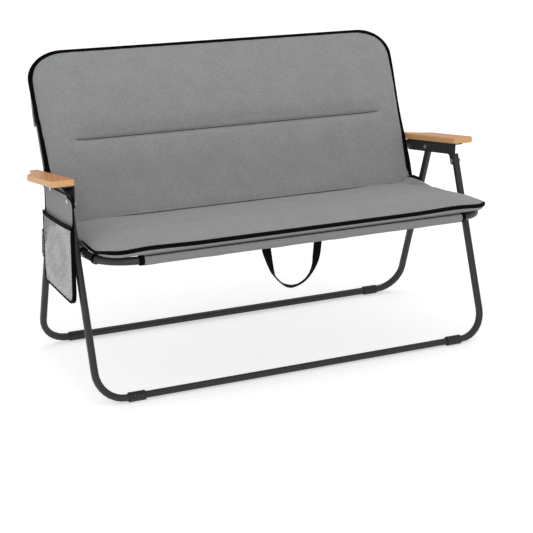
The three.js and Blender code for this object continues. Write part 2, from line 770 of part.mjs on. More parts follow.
function armBracket(hangerFront, extraHoles = []) {
  const top = ARM_UNDER_Z - GAP;
  const fold = (y) => armUnder(y) - GAP - SHEET / 2;
  const flangeRear = ARM_FRONT_Y + (BRACKET_FLANGE_REAR - ARM_FRONT_Y) * Math.cos(ARM_TILT) - SHEET;
  const [front, rear] = [pivot.armFront, pivot.backArm];
  const web = new THREE.Shape();
  web.moveTo(BRACKET_FRONT_Y, fold(BRACKET_FRONT_Y));
  web.lineTo(BRACKET_FRONT_Y, front.z);
  web.absarc(front.y, front.z, LUG_RADIUS, Math.PI, LUG_ARC_END);
  web.quadraticCurveTo(
    BRACKET_NECK_Y - LUG_RADIUS,
    front.z + BRACKET_NECK_RISE,
    BRACKET_NECK_Y,
    front.z + BRACKET_NECK_RISE,
  );
  const low = rear.y - 2 * LUG_RADIUS;
  web.lineTo(low, fold(low) - BRACKET_REAR_DEPTH);
  web.quadraticCurveTo(rear.y - LUG_RADIUS / 2, rear.z - LUG_RADIUS, rear.y, rear.z - LUG_RADIUS);
  web.absarc(rear.y, rear.z, LUG_RADIUS, -Math.PI / 2, Math.PI / 6);
  web.lineTo(flangeRear, fold(flangeRear));
  const hanger = new THREE.Shape();
  const eye = pivot.armRear;
  const hangerTop = hangerFront < HANGER_FRONT_Y ? STUD_HEIGHT + STUD_RADIUS : fold(HANGER_FRONT_Y);
  hanger.moveTo(HANGER_FRONT_Y, fold(HANGER_FRONT_Y));
  hanger.lineTo(hangerFront, hangerTop);
  hanger.lineTo(hangerFront, fold(HANGER_FRONT_Y) - HANGER_DEPTH);
  hanger.lineTo(eye.y - 2 * LUG_RADIUS, eye.z - LUG_RADIUS);
  hanger.lineTo(eye.y + LUG_RADIUS, eye.z - LUG_RADIUS);
  hanger.lineTo(eye.y + 2 * LUG_RADIUS, fold(eye.y + 2 * LUG_RADIUS) - SHEET);
  hanger.lineTo(eye.y + 2 * LUG_RADIUS, fold(eye.y + 2 * LUG_RADIUS));
  const length = BRACKET_FLANGE_REAR - BRACKET_FRONT_Y;
  const flange = new THREE.BoxGeometry(BRACKET_FLANGE_WIDTH, length, SHEET);
  flange.translate(WEB_X + BRACKET_FLANGE_WIDTH / 2, BRACKET_FRONT_Y + length / 2, top - SHEET / 2);
  const sheet = join(
    sideSheet(web, face.webInner, face.webOuter, SMALL_CURVE_STEPS),
    tilted(flange),
    sideSheet(hanger, face.hangerOuter - SHEET, face.hangerOuter),
  );
  const from = WEB_X - OVERRUN;
  const through = (point, to) => rod(BOLT_RADIUS + GAP, from, to, point);
  const screwHoles = armScrewPlaces().map(([x, y]) =>
    new THREE.CylinderGeometry(SCREW_RADIUS + GAP, SCREW_RADIUS + GAP, 4 * SHEET, SCREW_SIDES)
      .rotateX(Math.PI / 2)
      .translate(x, y, top),
  );
  screwHoles.forEach(tilted);
  return cut(
    sheet,
    through(front, face.webOuter + OVERRUN),
    through(rear, face.webOuter + OVERRUN),
    through(pivot.armRear, face.hangerOuter + OVERRUN),
    ...screwHoles,
    ...extraHoles,
  );
}

function armScrewPlaces() {
  const x = WEB_X + BRACKET_FLANGE_WIDTH / 2;
  const run = BRACKET_FLANGE_REAR - BRACKET_FRONT_Y;
  return ARM_SCREW_SHARES.map((share) => [x, BRACKET_FRONT_Y + share * run]);
}

const studPlaces = [0, 1].map((i) => at(0, POCKET_FRONT_Y + STUD_INSET + i * STUD_SPACING, STUD_HEIGHT));
const studHoles = studPlaces.map((point) =>
  rod(STUD_POST + GAP, face.hangerOuter - 2 * SHEET, face.hangerOuter + SHEET, point, SCREW_SIDES),
);
add("arm_bracket_right", armBracket(HANGER_FRONT_Y), paint, hands.right);
add("arm_bracket_left", armBracket(POCKET_TAB_FRONT, studHoles), paint, hands.left);

// Armrests: a board whose outer edge sweeps in at the rear.
function armrest() {
  const [inner, outer] = [ARM_INNER_X + ARM_EDGE, ARM_OUTER_X - ARM_EDGE];
  const [front, rear] = [ARM_FRONT_Y + ARM_EDGE, ARM_REAR_Y - ARM_EDGE];
  const narrow = ARM_INNER_X + ARM_NARROW - ARM_EDGE;
  const sweepTo = (share, way) => [
    outer + (narrow - outer) * way,
    ARM_CURVE_START + share * (rear - ARM_CORNER - ARM_CURVE_START),
  ];
  const shape = new THREE.Shape();
  shape.moveTo(inner + ARM_CORNER, front);
  shape.lineTo(outer - ARM_CORNER, front);
  shape.quadraticCurveTo(outer, front, outer, front + ARM_CORNER);
  shape.lineTo(outer, ARM_CURVE_START - ARM_CORNER);
  const turned = sweepTo(ARM_CURVE_SHARES[0] / 3, ARM_CURVE_SHARES[0]);
  shape.quadraticCurveTo(outer, ARM_CURVE_START, ...turned);
  shape.bezierCurveTo(
    ...sweepTo(ARM_CURVE_SHARES[0], ARM_CURVE_SHARES[1]),
    ...sweepTo(ARM_CURVE_SHARES[1], 1),
    narrow,
    rear - ARM_CORNER,
  );
  shape.quadraticCurveTo(narrow, rear, narrow - ARM_CORNER, rear);
  shape.lineTo(inner + ARM_CORNER / 2, rear);
  shape.quadraticCurveTo(inner, rear, inner, rear - ARM_CORNER / 2);
  shape.lineTo(inner, front + ARM_CORNER);
  shape.quadraticCurveTo(inner, front, inner + ARM_CORNER, front);
  const board = new THREE.ExtrudeGeometry(shape, {
    depth: ARM_THICKNESS - 2 * ARM_EDGE,
    bevelThickness: ARM_EDGE,
    bevelSize: ARM_EDGE,
    bevelSegments: 2,
    curveSegments: SMALL_CURVE_STEPS,
  });
  board.translate(0, 0, ARM_UNDER_Z + ARM_EDGE);
  const pilot = SCREW_LENGTH + GAP;
  const holes = armScrewPlaces().map(([x, y]) =>
    new THREE.CylinderGeometry(SCREW_RADIUS + GAP, SCREW_RADIUS + GAP, 2 * pilot, SCREW_SIDES)
      .rotateX(Math.PI / 2)
      .translate(x, y, ARM_UNDER_Z - SHEET),
  );
  return tilted(cut(board, ...holes));
}

addPair("armrest", armrest(), wood);

function armScrew([x, y]) {
  const under = ARM_UNDER_Z - SHEET - 2 * GAP;
  const shaft = new THREE.CylinderGeometry(SCREW_RADIUS, SCREW_RADIUS, SCREW_LENGTH, SCREW_SIDES);
  const wide = SCREW_HEAD_RADIUS;
  const head = new THREE.CylinderGeometry(wide, wide - 1, SCREW_HEAD_HEIGHT, BORE_SIDES);
  shaft.translate(0, SCREW_LENGTH / 2 - 1, 0);
  head.translate(0, -SCREW_HEAD_HEIGHT / 2, 0);
  const whole = join(shaft, head);
  return tilted(whole.rotateX(Math.PI / 2).translate(x, y, under));
}

armScrewPlaces().forEach((place, i) => addPair("arm_screw_" + ["front", "rear"][i], armScrew(place), zinc));

// Heights that the sling and the cushion follow.
const seatTubeTop = (y) => {
  const dip = pivot.seatFront;
  const end = y < dip.y ? at(0, SEAT_FRONT_Y, SEAT_FRONT_Z) : pivot.seatRear;
  return dip.z + ((y - dip.y) * (end.z - dip.z)) / (end.y - dip.y) + SEAT_TUBE_RADIUS;
};
const slingFrontTop = SEAT_FRONT_Z + SEAT_TUBE_RADIUS + GAP + CLOTH;
const slingTop = (y) => {
  const share = (y - SEAT_FRONT_Y) / (SLING_REAR_Y - SEAT_FRONT_Y);
  return slingFrontTop + Math.max(0, share) * (SLING_REAR_Z - slingFrontTop);
};

// The part of the seat tube's front between two places along X.
function frontLine(from, to) {
  const route = seatRoute().filter((point) => point.y < SEAT_FRONT_Y + SEAT_CORNER_RADIUS);
  const place = (x) => {
    const i = route.findIndex((point) => point.x <= x);
    const share = (x - route[i].x) / (route[i - 1].x - route[i].x);
    return route[i].clone().lerp(route[i - 1], share);
  };
  return [place(to), ...route.filter((point) => point.x < to && point.x > from), place(from)];
}

function sleeveRound(radius, points, turned) {
  const shape = circle(radius + GAP + CLOTH);
  const bore = new THREE.Path();
  bore.absarc(0, 0, radius + GAP, 0, 2 * Math.PI);
  shape.holes.push(bore);
  return sweep(shape, points, turned, TUBE_SIDES);
}

// Seat sling: a sheet from the front tube down to the rear, with a sleeve round the front tube and one round
// each side tube, left open at the leg bolts.
function seatSling() {
  const sheetRing = (y, half) => {
    const top = slingTop(y);
    return [
      at(-half, y, top - SLING_THICKNESS),
      at(half, y, top - SLING_THICKNESS),
      at(half, y, top),
      at(-half, y, top),
    ];
  };
  const inside = SEAT_TUBE_X - SEAT_TUBE_RADIUS - GAP - CLOTH / 2;
  const clear = SEAT_TUBE_X - SEAT_CORNER_RADIUS;
  const sheet = loft([
    sheetRing(SEAT_FRONT_Y, clear),
    sheetRing(SIDE_SLEEVE_START - CLOTH, clear),
    sheetRing(SIDE_SLEEVE_START, inside),
    sheetRing(SIDE_SLEEVE_END, inside),
    sheetRing(SLING_REAR_Y, inside - CLOTH),
  ]);
  const front = sleeveRound(SEAT_TUBE_RADIUS, frontLine(-SLEEVE_HALF, SLEEVE_HALF), at(0, 0, 1));
  const along = pivot.seatRear.clone().sub(pivot.seatFront).normalize();
  const sides = [1, -1].map((side) => {
    const place = (y) => {
      const distance = (y - pivot.seatFront.y) / along.y;
      return shifted(pivot.seatFront.clone().addScaledVector(along, distance), side * SEAT_TUBE_X);
    };
    const line = [place(pivot.seatFront.y + SLEEVE_NOTCH), place(SIDE_SLEEVE_END)];
    return sleeveRound(SEAT_TUBE_RADIUS, line, across);
  });
  const bore = rod(SEAT_TUBE_RADIUS + GAP, -clear, clear, at(0, SEAT_FRONT_Y, SEAT_FRONT_Z), SLEEVE_SIDES);
  return cut(join(sheet, front, ...sides), bore);
}

add("seat_sling", seatSling(), coverCloth);

// Black bands that bind the ends of the front sleeve.
const bandStart = SLEEVE_HALF + GAP;
const seatBand = sleeveRound(SEAT_TUBE_RADIUS, frontLine(bandStart, bandStart + BAND_LENGTH), at(0, 0, 1));

// How far a rounded plan corner draws a half width in, at a distance from the end.
const cornerInset = (radius, fromEnd) => {
  const left = Math.max(0, radius - Math.max(0, fromEnd));
  return radius - Math.sqrt(radius ** 2 - left ** 2);
};

// A sewn channel: a narrow dip across a surface.
const channel = (place, centre) => -CHANNEL_DEPTH * Math.exp(-(((place - centre) / CHANNEL_WIDTH) ** 2));

// Shares of the half width where a cushion has its lengthwise lines of points.
const COLUMN_SHARES = [0, 0.28, 0.52, 0.7, 0.82, 0.9, 0.96, 1];
const ROW_CORNER_SHARES = [0, 0.06, 0.24, 0.55, 1];

// Seat cushion: crowned, dropping to its bound edge all round.
// It lies over the tubes in front and between them behind.
function seatCushion() {
  const width = (y) => {
    const share = THREE.MathUtils.smoothstep(y, SEAT_PAD_NARROW_START, SEAT_PAD_NARROW_END);
    const straight = THREE.MathUtils.lerp(SEAT_PAD_HALF_WIDTH, SEAT_PAD_REAR_HALF_WIDTH, share);
    return straight - cornerInset(SEAT_PAD_CORNER, y - SEAT_PAD_FRONT);
  };
  const inner = SEAT_TUBE_X - SEAT_TUBE_RADIUS - GAP - CLOTH - 1;
  const rows = [
    ...ROW_CORNER_SHARES.map((share) => SEAT_PAD_FRONT + share * SEAT_PAD_CORNER),
    70,
    115,
    SEAT_CHANNEL_Y - 2 * CHANNEL_WIDTH,
    SEAT_CHANNEL_Y - CHANNEL_WIDTH / 2,
    SEAT_CHANNEL_Y + CHANNEL_WIDTH / 2,
    SEAT_CHANNEL_Y + 2 * CHANNEL_WIDTH,
    210,
    SEAT_PAD_NARROW_END - 1,
    SEAT_PAD_NARROW_END,
    270,
    310,
    345,
    366,
    SEAT_PAD_REAR,
  ];
  const rings = rows.map((y) => {
    const half = width(y);
    const low = slingTop(Math.min(y, SLING_REAR_Y)) + GAP + CUSHION_REST;
    const over = Math.max(low, seatTubeTop(y) + GAP + CLOTH + SEAT_PAD_CLEAR);
    const above = y < SEAT_PAD_NARROW_END;
    const line = read(SEAT_PAD_LINE, y) + channel(y, SEAT_CHANNEL_Y);
    const top = COLUMN_SHARES.map((share) => {
      const x = share * half;
      const edge = Math.max(0, (x - (half - SEAT_PAD_EDGE_WIDTH)) / SEAT_PAD_EDGE_WIDTH);
      return [x, Math.max(line - SEAT_PAD_EDGE_DROP * edge ** 2, (above ? over : low) + SEAT_PAD_RIM)];
    });
    const bottomX = [half, Math.min(inner, half), Math.min(inner, half) - 2, half * 0.5];
    const bottom = bottomX.map((x, i) => [x, i < 2 && above ? over : low]);
    const rightSide = [...bottom.reverse(), ...[...top].reverse().slice(0, -1)];
    return [
      ...rightSide.map(([x, z]) => at(x, y, z)),
      at(0, y, line),
      ...[...rightSide].reverse().map(([x, z]) => at(-x, y, z)),
    ];
  });
  return loft(rings.reverse());
}

add("seat_cushion", seatCushion(), greyCloth);

// Back cushion: the same form, laid against the front of the back tubes.
function backCushion() {
  const rows = [
    BACK_PAD_BOTTOM,
    45,
    70,
    100,
    130,
    168,
    200,
    BACK_CHANNEL - 2 * CHANNEL_WIDTH,
    BACK_CHANNEL - CHANNEL_WIDTH / 2,
    BACK_CHANNEL + CHANNEL_WIDTH / 2,
    BACK_CHANNEL + 2 * CHANNEL_WIDTH,
    300,
    350,
    ...[...ROW_CORNER_SHARES].reverse().map((share) => BACK_PAD_TOP - share * BACK_PAD_CORNER),
  ];
  const rings = rows.map((up) => {
    const half = read(BACK_WIDTH_LINE, up) - cornerInset(BACK_PAD_CORNER, BACK_PAD_TOP - up);
    const line = read(BACK_PAD_LINE, up) + channel(up, BACK_CHANNEL);
    const edgeDepth = Math.min(BACK_PAD_EDGE, line);
    const front = COLUMN_SHARES.map((share) => {
      const x = share * half;
      const edge = Math.min(1, (half - x) / BACK_PAD_EDGE_WIDTH);
      return [x, edgeDepth + (line - edgeDepth) * Math.sqrt(1 - (1 - edge) ** 2)];
    });
    const foremost = [...front].reverse().slice(0, -1);
    const rightSide = [[half / 2, BACK_PAD_REAR], [half, BACK_PAD_REAR], ...foremost];
    const place = (x, ahead) => shifted(onBack(up, ahead), x);
    return [
      ...rightSide.map(([x, ahead]) => place(x, ahead)),
      place(0, line),
      ...[...rightSide].reverse().map(([x, ahead]) => place(-x, ahead)),
    ];
  });
  return loft(rings);
}

add("back_cushion", backCushion(), greyCloth);

// The rear cover is drawn flat, X across, Y up the back and Z to the front, then laid against the back.
function slabOnBack(shape, from, to) {
  const slab = new THREE.ExtrudeGeometry(shape, {
    depth: to - from,
    bevelEnabled: false,
    curveSegments: OUTLINE_STEPS,
  });
  const basis = new THREE.Matrix4().makeBasis(across, upBack, aheadOfBack);
  return slab.translate(0, 0, from).applyMatrix4(basis).translate(0, BACK_FOOT_Y, BACK_FOOT_Z);
}

function roundTop(shape, half, top, corner) {
  shape.lineTo(half, top - corner);
  shape.absarc(half - corner, top - corner, corner, 0, Math.PI / 2);
  shape.lineTo(corner - half, top);
  shape.absarc(corner - half, top - corner, corner, Math.PI / 2, Math.PI);
}

function coverOutline() {
  const shape = new THREE.Shape();
  const right = [
    [COVER_SLEEVE_HALF, -CROSS_RAIL_DROP],
    [COVER_SLEEVE_HALF, COVER_DIAGONAL_LOW],
    [COVER_HALF, COVER_SIDE_LOW],
    [COVER_HALF, COVER_NOTCH_LOW],
    [COVER_NOTCH_X, COVER_NOTCH_LOW],
    [COVER_NOTCH_X, COVER_NOTCH_HIGH],
    [COVER_HALF, COVER_NOTCH_HIGH],
  ];
  [...right].reverse().forEach(([x, up], i) => (i ? shape.lineTo(-x, up) : shape.moveTo(-x, up)));
  right.forEach(([x, up]) => shape.lineTo(x, up));
  roundTop(shape, COVER_HALF, BACK_PAD_TOP, COVER_CORNER);
  return shape;
}

// Rear cover: a sheet behind the back tubes whose rim turns forward round them, with a sleeve round the
// cross rail and cut-outs at the arm bolts.
function backCover() {
  const hollow = new THREE.Shape();
  const half = COVER_HALF - COVER_RIM;
  hollow.moveTo(-half, -CROSS_RAIL_DROP - OVERRUN);
  hollow.lineTo(half, -CROSS_RAIL_DROP - OVERRUN);
  roundTop(hollow, half, BACK_PAD_TOP - COVER_RIM, COVER_CORNER - COVER_RIM);
  const tray = cut(
    slabOnBack(coverOutline(), -COVER_REAR, BACK_PAD_REAR - GAP),
    slabOnBack(hollow, COVER_RIM - COVER_REAR, BACK_PAD_REAR + OVERRUN),
  );
  const line = [-COVER_SLEEVE_HALF, COVER_SLEEVE_HALF].map((x) => shifted(onBack(-CROSS_RAIL_DROP), x));
  const thick = COVER_REAR - CROSS_RAIL_RADIUS - GAP;
  const shape = circle(CROSS_RAIL_RADIUS + GAP + thick);
  const bore = new THREE.Path();
  bore.absarc(0, 0, CROSS_RAIL_RADIUS + GAP, 0, 2 * Math.PI);
  shape.holes.push(bore);
  const sleeve = sweep(shape, line, upBack, TUBE_SIDES);
  const railPlace = onBack(-CROSS_RAIL_DROP);
  const railSpace = rod(CROSS_RAIL_RADIUS + GAP, -BACK_TUBE_X, BACK_TUBE_X, railPlace, TUBE_SIDES);
  return cut(join(tray, sleeve), railSpace);
}

add("back_cover", backCover(), coverCloth);

// Side pocket: a panel with a net in front of it, bound together round three sides.
function pocketOutline(inset, mouth) {
  const front = POCKET_FRONT_Y + inset;
  const rear = POCKET_REAR_Y - inset;
  const [low, top, rearTop] = [POCKET_BOTTOM + inset, POCKET_TOP - inset, POCKET_TOP_REAR - inset];
  const corner = POCKET_CORNER - inset;
  const topCorner = POCKET_TOP_CORNER - inset;
  const shape = new THREE.Shape();
  if (mouth) shape.moveTo(front, POCKET_MOUTH_FRONT);
  else {
    shape.moveTo(front + 2 * topCorner, top);
    shape.quadraticCurveTo(front, top, front, top - topCorner);
  }
  shape.lineTo(front, low + corner);
  shape.quadraticCurveTo(front, low, front + corner, low);
  shape.lineTo(rear - corner / 2, low);
  shape.quadraticCurveTo(rear, low, rear, low + 2 * corner);
  shape.lineTo(rear, mouth ? POCKET_MOUTH_REAR : rearTop);
  if (mouth) {
    const middle = (POCKET_MOUTH_FRONT + POCKET_MOUTH_REAR) / 2 - BINDING_WIDTH;
    shape.quadraticCurveTo((front + rear) / 2, middle, front, POCKET_MOUTH_FRONT);
  }
  return shape;
}

function pocket() {
  const [inner, outer] = [POCKET_X, POCKET_X - CLOTH];
  const netInner = outer - POCKET_GAP;
  const panel = cut(
    sideSheet(pocketOutline(BINDING_WIDTH / 3, false), outer, inner),
    ...studPlaces.map((point) => rod(STUD_POST + GAP, outer - OVERRUN, inner + OVERRUN, point, SCREW_SIDES)),
  );
  const net = sideSheet(pocketOutline(BINDING_WIDTH + GAP, true), netInner - CLOTH, netInner);
  const rim = sideSheet(pocketOutline(0, true), netInner - CLOTH, outer - GAP);
  const hole = sideSheet(pocketOutline(BINDING_WIDTH, true), netInner - OVERRUN, inner);
  const mouthWidth = POCKET_REAR_Y - POCKET_FRONT_Y - 2 * BINDING_WIDTH;
  const open = new THREE.BoxGeometry(6 * OVERRUN, mouthWidth, 8 * OVERRUN);
  open.translate(netInner, (POCKET_REAR_Y + POCKET_FRONT_Y) / 2, POCKET_MOUTH_FRONT);
  return { panel, net, binding: cut(rim, hole, open) };
}

const pocketPieces = pocket();
add("pocket_panel", pocketPieces.panel, greyCloth);
add("pocket_mesh", pocketPieces.net, netCloth);
add("pocket_binding", pocketPieces.binding, blackCloth);

studPlaces.forEach((point, i) => {
  const panelFace = POCKET_X - CLOTH;
  const cap = rod(STUD_RADIUS, panelFace - GAP - CLOTH, panelFace - GAP, point, BORE_SIDES);
  const post = rod(STUD_POST, panelFace - GAP - CLOTH / 2, SHEET - face.hangerOuter, point, SCREW_SIDES);
  add("pocket_stud_" + ["front", "rear"][i], join(cap, post), zinc);
});

// A handle of flat webbing through given points. Its broad face looks outwards where it isn't turned.
function webbing(table, place, outwards) {
  const points = table.map(([x, up]) => place(x, up));
  const curve = new THREE.CatmullRomCurve3(points, false, "centripetal");
  const last = table.length - 1;
  const rings = [];
  for (let i = 0; i <= last * HANDLE_STEPS; i += 1) {
    const share = i / (last * HANDLE_STEPS);
    const row = Math.min(last - 1, Math.floor(i / HANDLE_STEPS));
    const turn = THREE.MathUtils.lerp(table[row][2], table[row + 1][2], i / HANDLE_STEPS - row);
    const tangent = curve.getTangent(share);
    const inPlane = tangent.clone().cross(outwards).normalize();
    const wide = inPlane.applyAxisAngle(tangent, THREE.MathUtils.degToRad(turn));
    const thick = tangent.clone().cross(wide);
    rings.push(
      [
        [-1, -1],
        [1, -1],
        [1, 1],
        [-1, 1],
      ].map(([a, b]) =>
        curve
          .getPoint(share)
          .addScaledVector(wide, (a * WEBBING_WIDTH) / 2)
          .addScaledVector(thick, (b * WEBBING_THICKNESS) / 2),
      ),
    );
  }
  return loft(rings);
}

const forwards = at(0, -1, 0);
const seatHandleTop = slingTop(SEAT_HANDLE_Y + WEBBING_THICKNESS) - SLING_THICKNESS - 2 * GAP;
const seatHandleTable = SEAT_HANDLE.map(([x, z, turn], i) => {
  const isEnd = i === 0 || i === SEAT_HANDLE.length - 1;
  return [x, isEnd ? seatHandleTop : z, isEnd ? 0 : turn];
});
add("seat_handle", webbing(seatHandleTable, (x, z) => at(x, SEAT_HANDLE_Y, z), forwards), blackCloth);

const backHandleRear = -COVER_REAR - GAP - WEBBING_THICKNESS / 2;
const backHandle = webbing(
  BACK_HANDLE,
  (x, up) => {
    const bulge = (BACK_HANDLE[0][1] - up) / BACK_HANDLE_BULGE;
    const behind = backHandleRear - BACK_HANDLE_BULGE * (1 - Math.exp(-bulge));
    return shifted(onBack(BACK_HANDLE_UP + up, behind), x);
  },
  aheadOfBack.clone().negate(),
);
add("back_handle", backHandle, blackCloth);
addPair("seat_sleeve_band", seatBand, blackCloth);

// The origin is under the middle of the whole loveseat.
loveseat.updateMatrixWorld(true);
const whole = new THREE.Box3().setFromObject(loveseat, true);
loveseat.position.y = -(whole.min.y + whole.max.y) / 2;

export default loveseat;
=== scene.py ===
# %% [markdown]
# # A folding camping loveseat
#
# The steel frame, brackets, bolts, armrests and feet arrive ready shaped from the CAD model, body by body.
# Here they get their finishes, the feet get rounder ribs, and every soft piece is sewn anew: two padded
# cushions with bound edges, the sling and its sleeves, the rear cover, the net pocket and two handles.
# All lengths are written in millimetres in the maker's own frame and turned to metres in one place.

# %% Load the frame
import json
import math
import bpy
import numpy as np
from mathutils import Matrix, Vector

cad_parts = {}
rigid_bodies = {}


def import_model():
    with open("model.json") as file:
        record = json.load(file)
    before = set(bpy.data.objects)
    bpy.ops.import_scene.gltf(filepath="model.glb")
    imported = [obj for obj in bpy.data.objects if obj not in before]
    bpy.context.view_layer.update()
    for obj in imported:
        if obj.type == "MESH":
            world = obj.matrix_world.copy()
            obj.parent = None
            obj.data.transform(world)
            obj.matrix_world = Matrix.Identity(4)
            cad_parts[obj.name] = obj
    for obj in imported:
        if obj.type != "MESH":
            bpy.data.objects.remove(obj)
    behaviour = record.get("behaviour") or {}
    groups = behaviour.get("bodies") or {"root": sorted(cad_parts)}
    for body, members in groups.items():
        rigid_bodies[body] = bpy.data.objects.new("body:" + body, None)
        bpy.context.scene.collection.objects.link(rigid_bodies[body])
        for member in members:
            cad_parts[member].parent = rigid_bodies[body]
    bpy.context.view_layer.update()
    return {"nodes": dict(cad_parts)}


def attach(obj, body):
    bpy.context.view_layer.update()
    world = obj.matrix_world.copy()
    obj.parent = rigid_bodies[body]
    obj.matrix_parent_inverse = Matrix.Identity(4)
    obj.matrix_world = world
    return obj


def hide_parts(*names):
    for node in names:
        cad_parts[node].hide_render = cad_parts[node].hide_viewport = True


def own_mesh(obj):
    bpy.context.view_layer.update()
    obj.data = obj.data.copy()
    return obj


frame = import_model()

# %% [markdown]
# ## Places
#
# The maker's frame has X to the right, Y to the back and Z up, with Y = 0 near the front floor rail.
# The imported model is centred, so its Y is moved. The back has a frame of its own, because a leaning
# cushion is far easier to draw as "so far up the back and so far ahead of its tubes".

# %% Places in millimetres
MM = 0.001
SHIFT_Y = -288.028
BACK_FOOT_Y, BACK_FOOT_Z = 386, 356.1
BACK_LEAN = math.radians(25.9)


def at(x, y, z):
    return np.array([x, y + SHIFT_Y, z], float) * MM


def on_back(x, up, ahead):
    y = BACK_FOOT_Y + up * math.sin(BACK_LEAN) - ahead * math.cos(BACK_LEAN)
    z = BACK_FOOT_Z + up * math.cos(BACK_LEAN) + ahead * math.sin(BACK_LEAN)
    return at(x, y, z)


ACROSS, FRONTWARD, UPWARD = np.array([1.0, 0, 0]), np.array([0, -1.0, 0]), np.array([0, 0, 1.0])
AHEAD_SIDE, UP_SIDE = ((on_back(0, up, ahead) - on_back(0, 0, 0)) / MM for up, ahead in ((0, 1), (1, 0)))


def clamp(share):
    return min(1.0, max(0.0, share))


def smooth(share):
    share = clamp(share)
    return share * share * (3 - 2 * share)


def quarter(share):
    """Height of a quarter circle at a share of its width."""
    return math.sqrt(1 - (1 - clamp(share)) ** 2)


def read(table, place):
    """A smooth reading of a table of places and values."""
    places = [row[0] for row in table]
    values = [row[1] for row in table]
    slopes = np.gradient(values, places)
    place = min(max(place, places[0]), places[-1])
    i = min(len(places) - 2, max(0, int(np.searchsorted(places, place)) - 1))
    step = places[i + 1] - places[i]
    s = (place - places[i]) / step
    ends = values[i] * (1 + 2 * s) * (1 - s) ** 2 + values[i + 1] * s * s * (3 - 2 * s)
    return ends + step * (slopes[i] * s * (1 - s) ** 2 - slopes[i + 1] * s * s * (1 - s))


print("the lower back bolt stands at", np.round(on_back(0, 0, 0), 4))

# %% [markdown]
# ## The camera
#
# The camera stands to the left of the front and a little above, as in the catalogue picture, with a long
# lens. Its place and turn were solved from the feet, the bolt heads and the corners of the cushions.

# %% Camera
CAMERA_AT = (-1.66401, -3.47093, 1.47824)
CAMERA_YAW, CAMERA_PITCH, CAMERA_ROLL = (math.radians(a) for a in (25.977, 18.236, 0.557))
camera_data = bpy.data.cameras.new("camera")
camera_data.lens = 97.08
camera_data.sensor_width = 36
camera = bpy.data.objects.new("camera", camera_data)
bpy.context.collection.objects.link(camera)
bpy.context.scene.camera = camera
sin_yaw, cos_yaw = math.sin(CAMERA_YAW), math.cos(CAMERA_YAW)
sin_pitch, cos_pitch = math.sin(CAMERA_PITCH), math.cos(CAMERA_PITCH)
level = Vector((cos_yaw, -sin_yaw, 0))
upright = Vector((sin_yaw * sin_pitch, cos_yaw * sin_pitch, cos_pitch))
ahead = Vector((sin_yaw * cos_pitch, cos_yaw * cos_pitch, -sin_pitch))
across_view = level * math.cos(CAMERA_ROLL) + upright * math.sin(CAMERA_ROLL)
up_view = upright * math.cos(CAMERA_ROLL) - level * math.sin(CAMERA_ROLL)
turn = Matrix((across_view, up_view, -ahead)).transposed().to_4x4()
camera.matrix_world = Matrix.Translation(CAMERA_AT) @ turn
print("camera looks along", np.round(ahead, 3))

# %% [markdown]
# ## Shader maths
#
# A finish is easiest to read as sums and products. The small class below wraps one socket and adds a Math
# node for each operator, so a weave can be written as sine times sine. Anything that isn't arithmetic, such
# as a noise or a bump, comes from the one method called node.

# %% Shader maths
class Wire:
    """One output socket that can be added, multiplied and so on."""

    def __init__(self, finish, socket):
        self.finish = finish
        self.socket = socket

    def maths(self, operation, *values):
        inputs = dict(enumerate(values))
        return self.finish.node("ShaderNodeMath", {"operation": operation}, inputs)

    def __add__(self, other):
        return self.maths("ADD", self, other)

    def __sub__(self, other):
        return self.maths("SUBTRACT", self, other)

    def __rsub__(self, other):
        return self.maths("SUBTRACT", other, self)

    def __mul__(self, other):
        return self.maths("MULTIPLY", self, other)

    __radd__ = __add__
    __rmul__ = __mul__

    def sine(self):
        return self.maths("SINE", self)

    def power(self, exponent):
        return self.maths("POWER", self, exponent)

    def between(self, low, high):
        """0 below low, 1 above high."""
        ranges = {1: low, 2: high}
        return self.finish.node("ShaderNodeMapRange", {"clamp": True}, {0: self, **ranges})


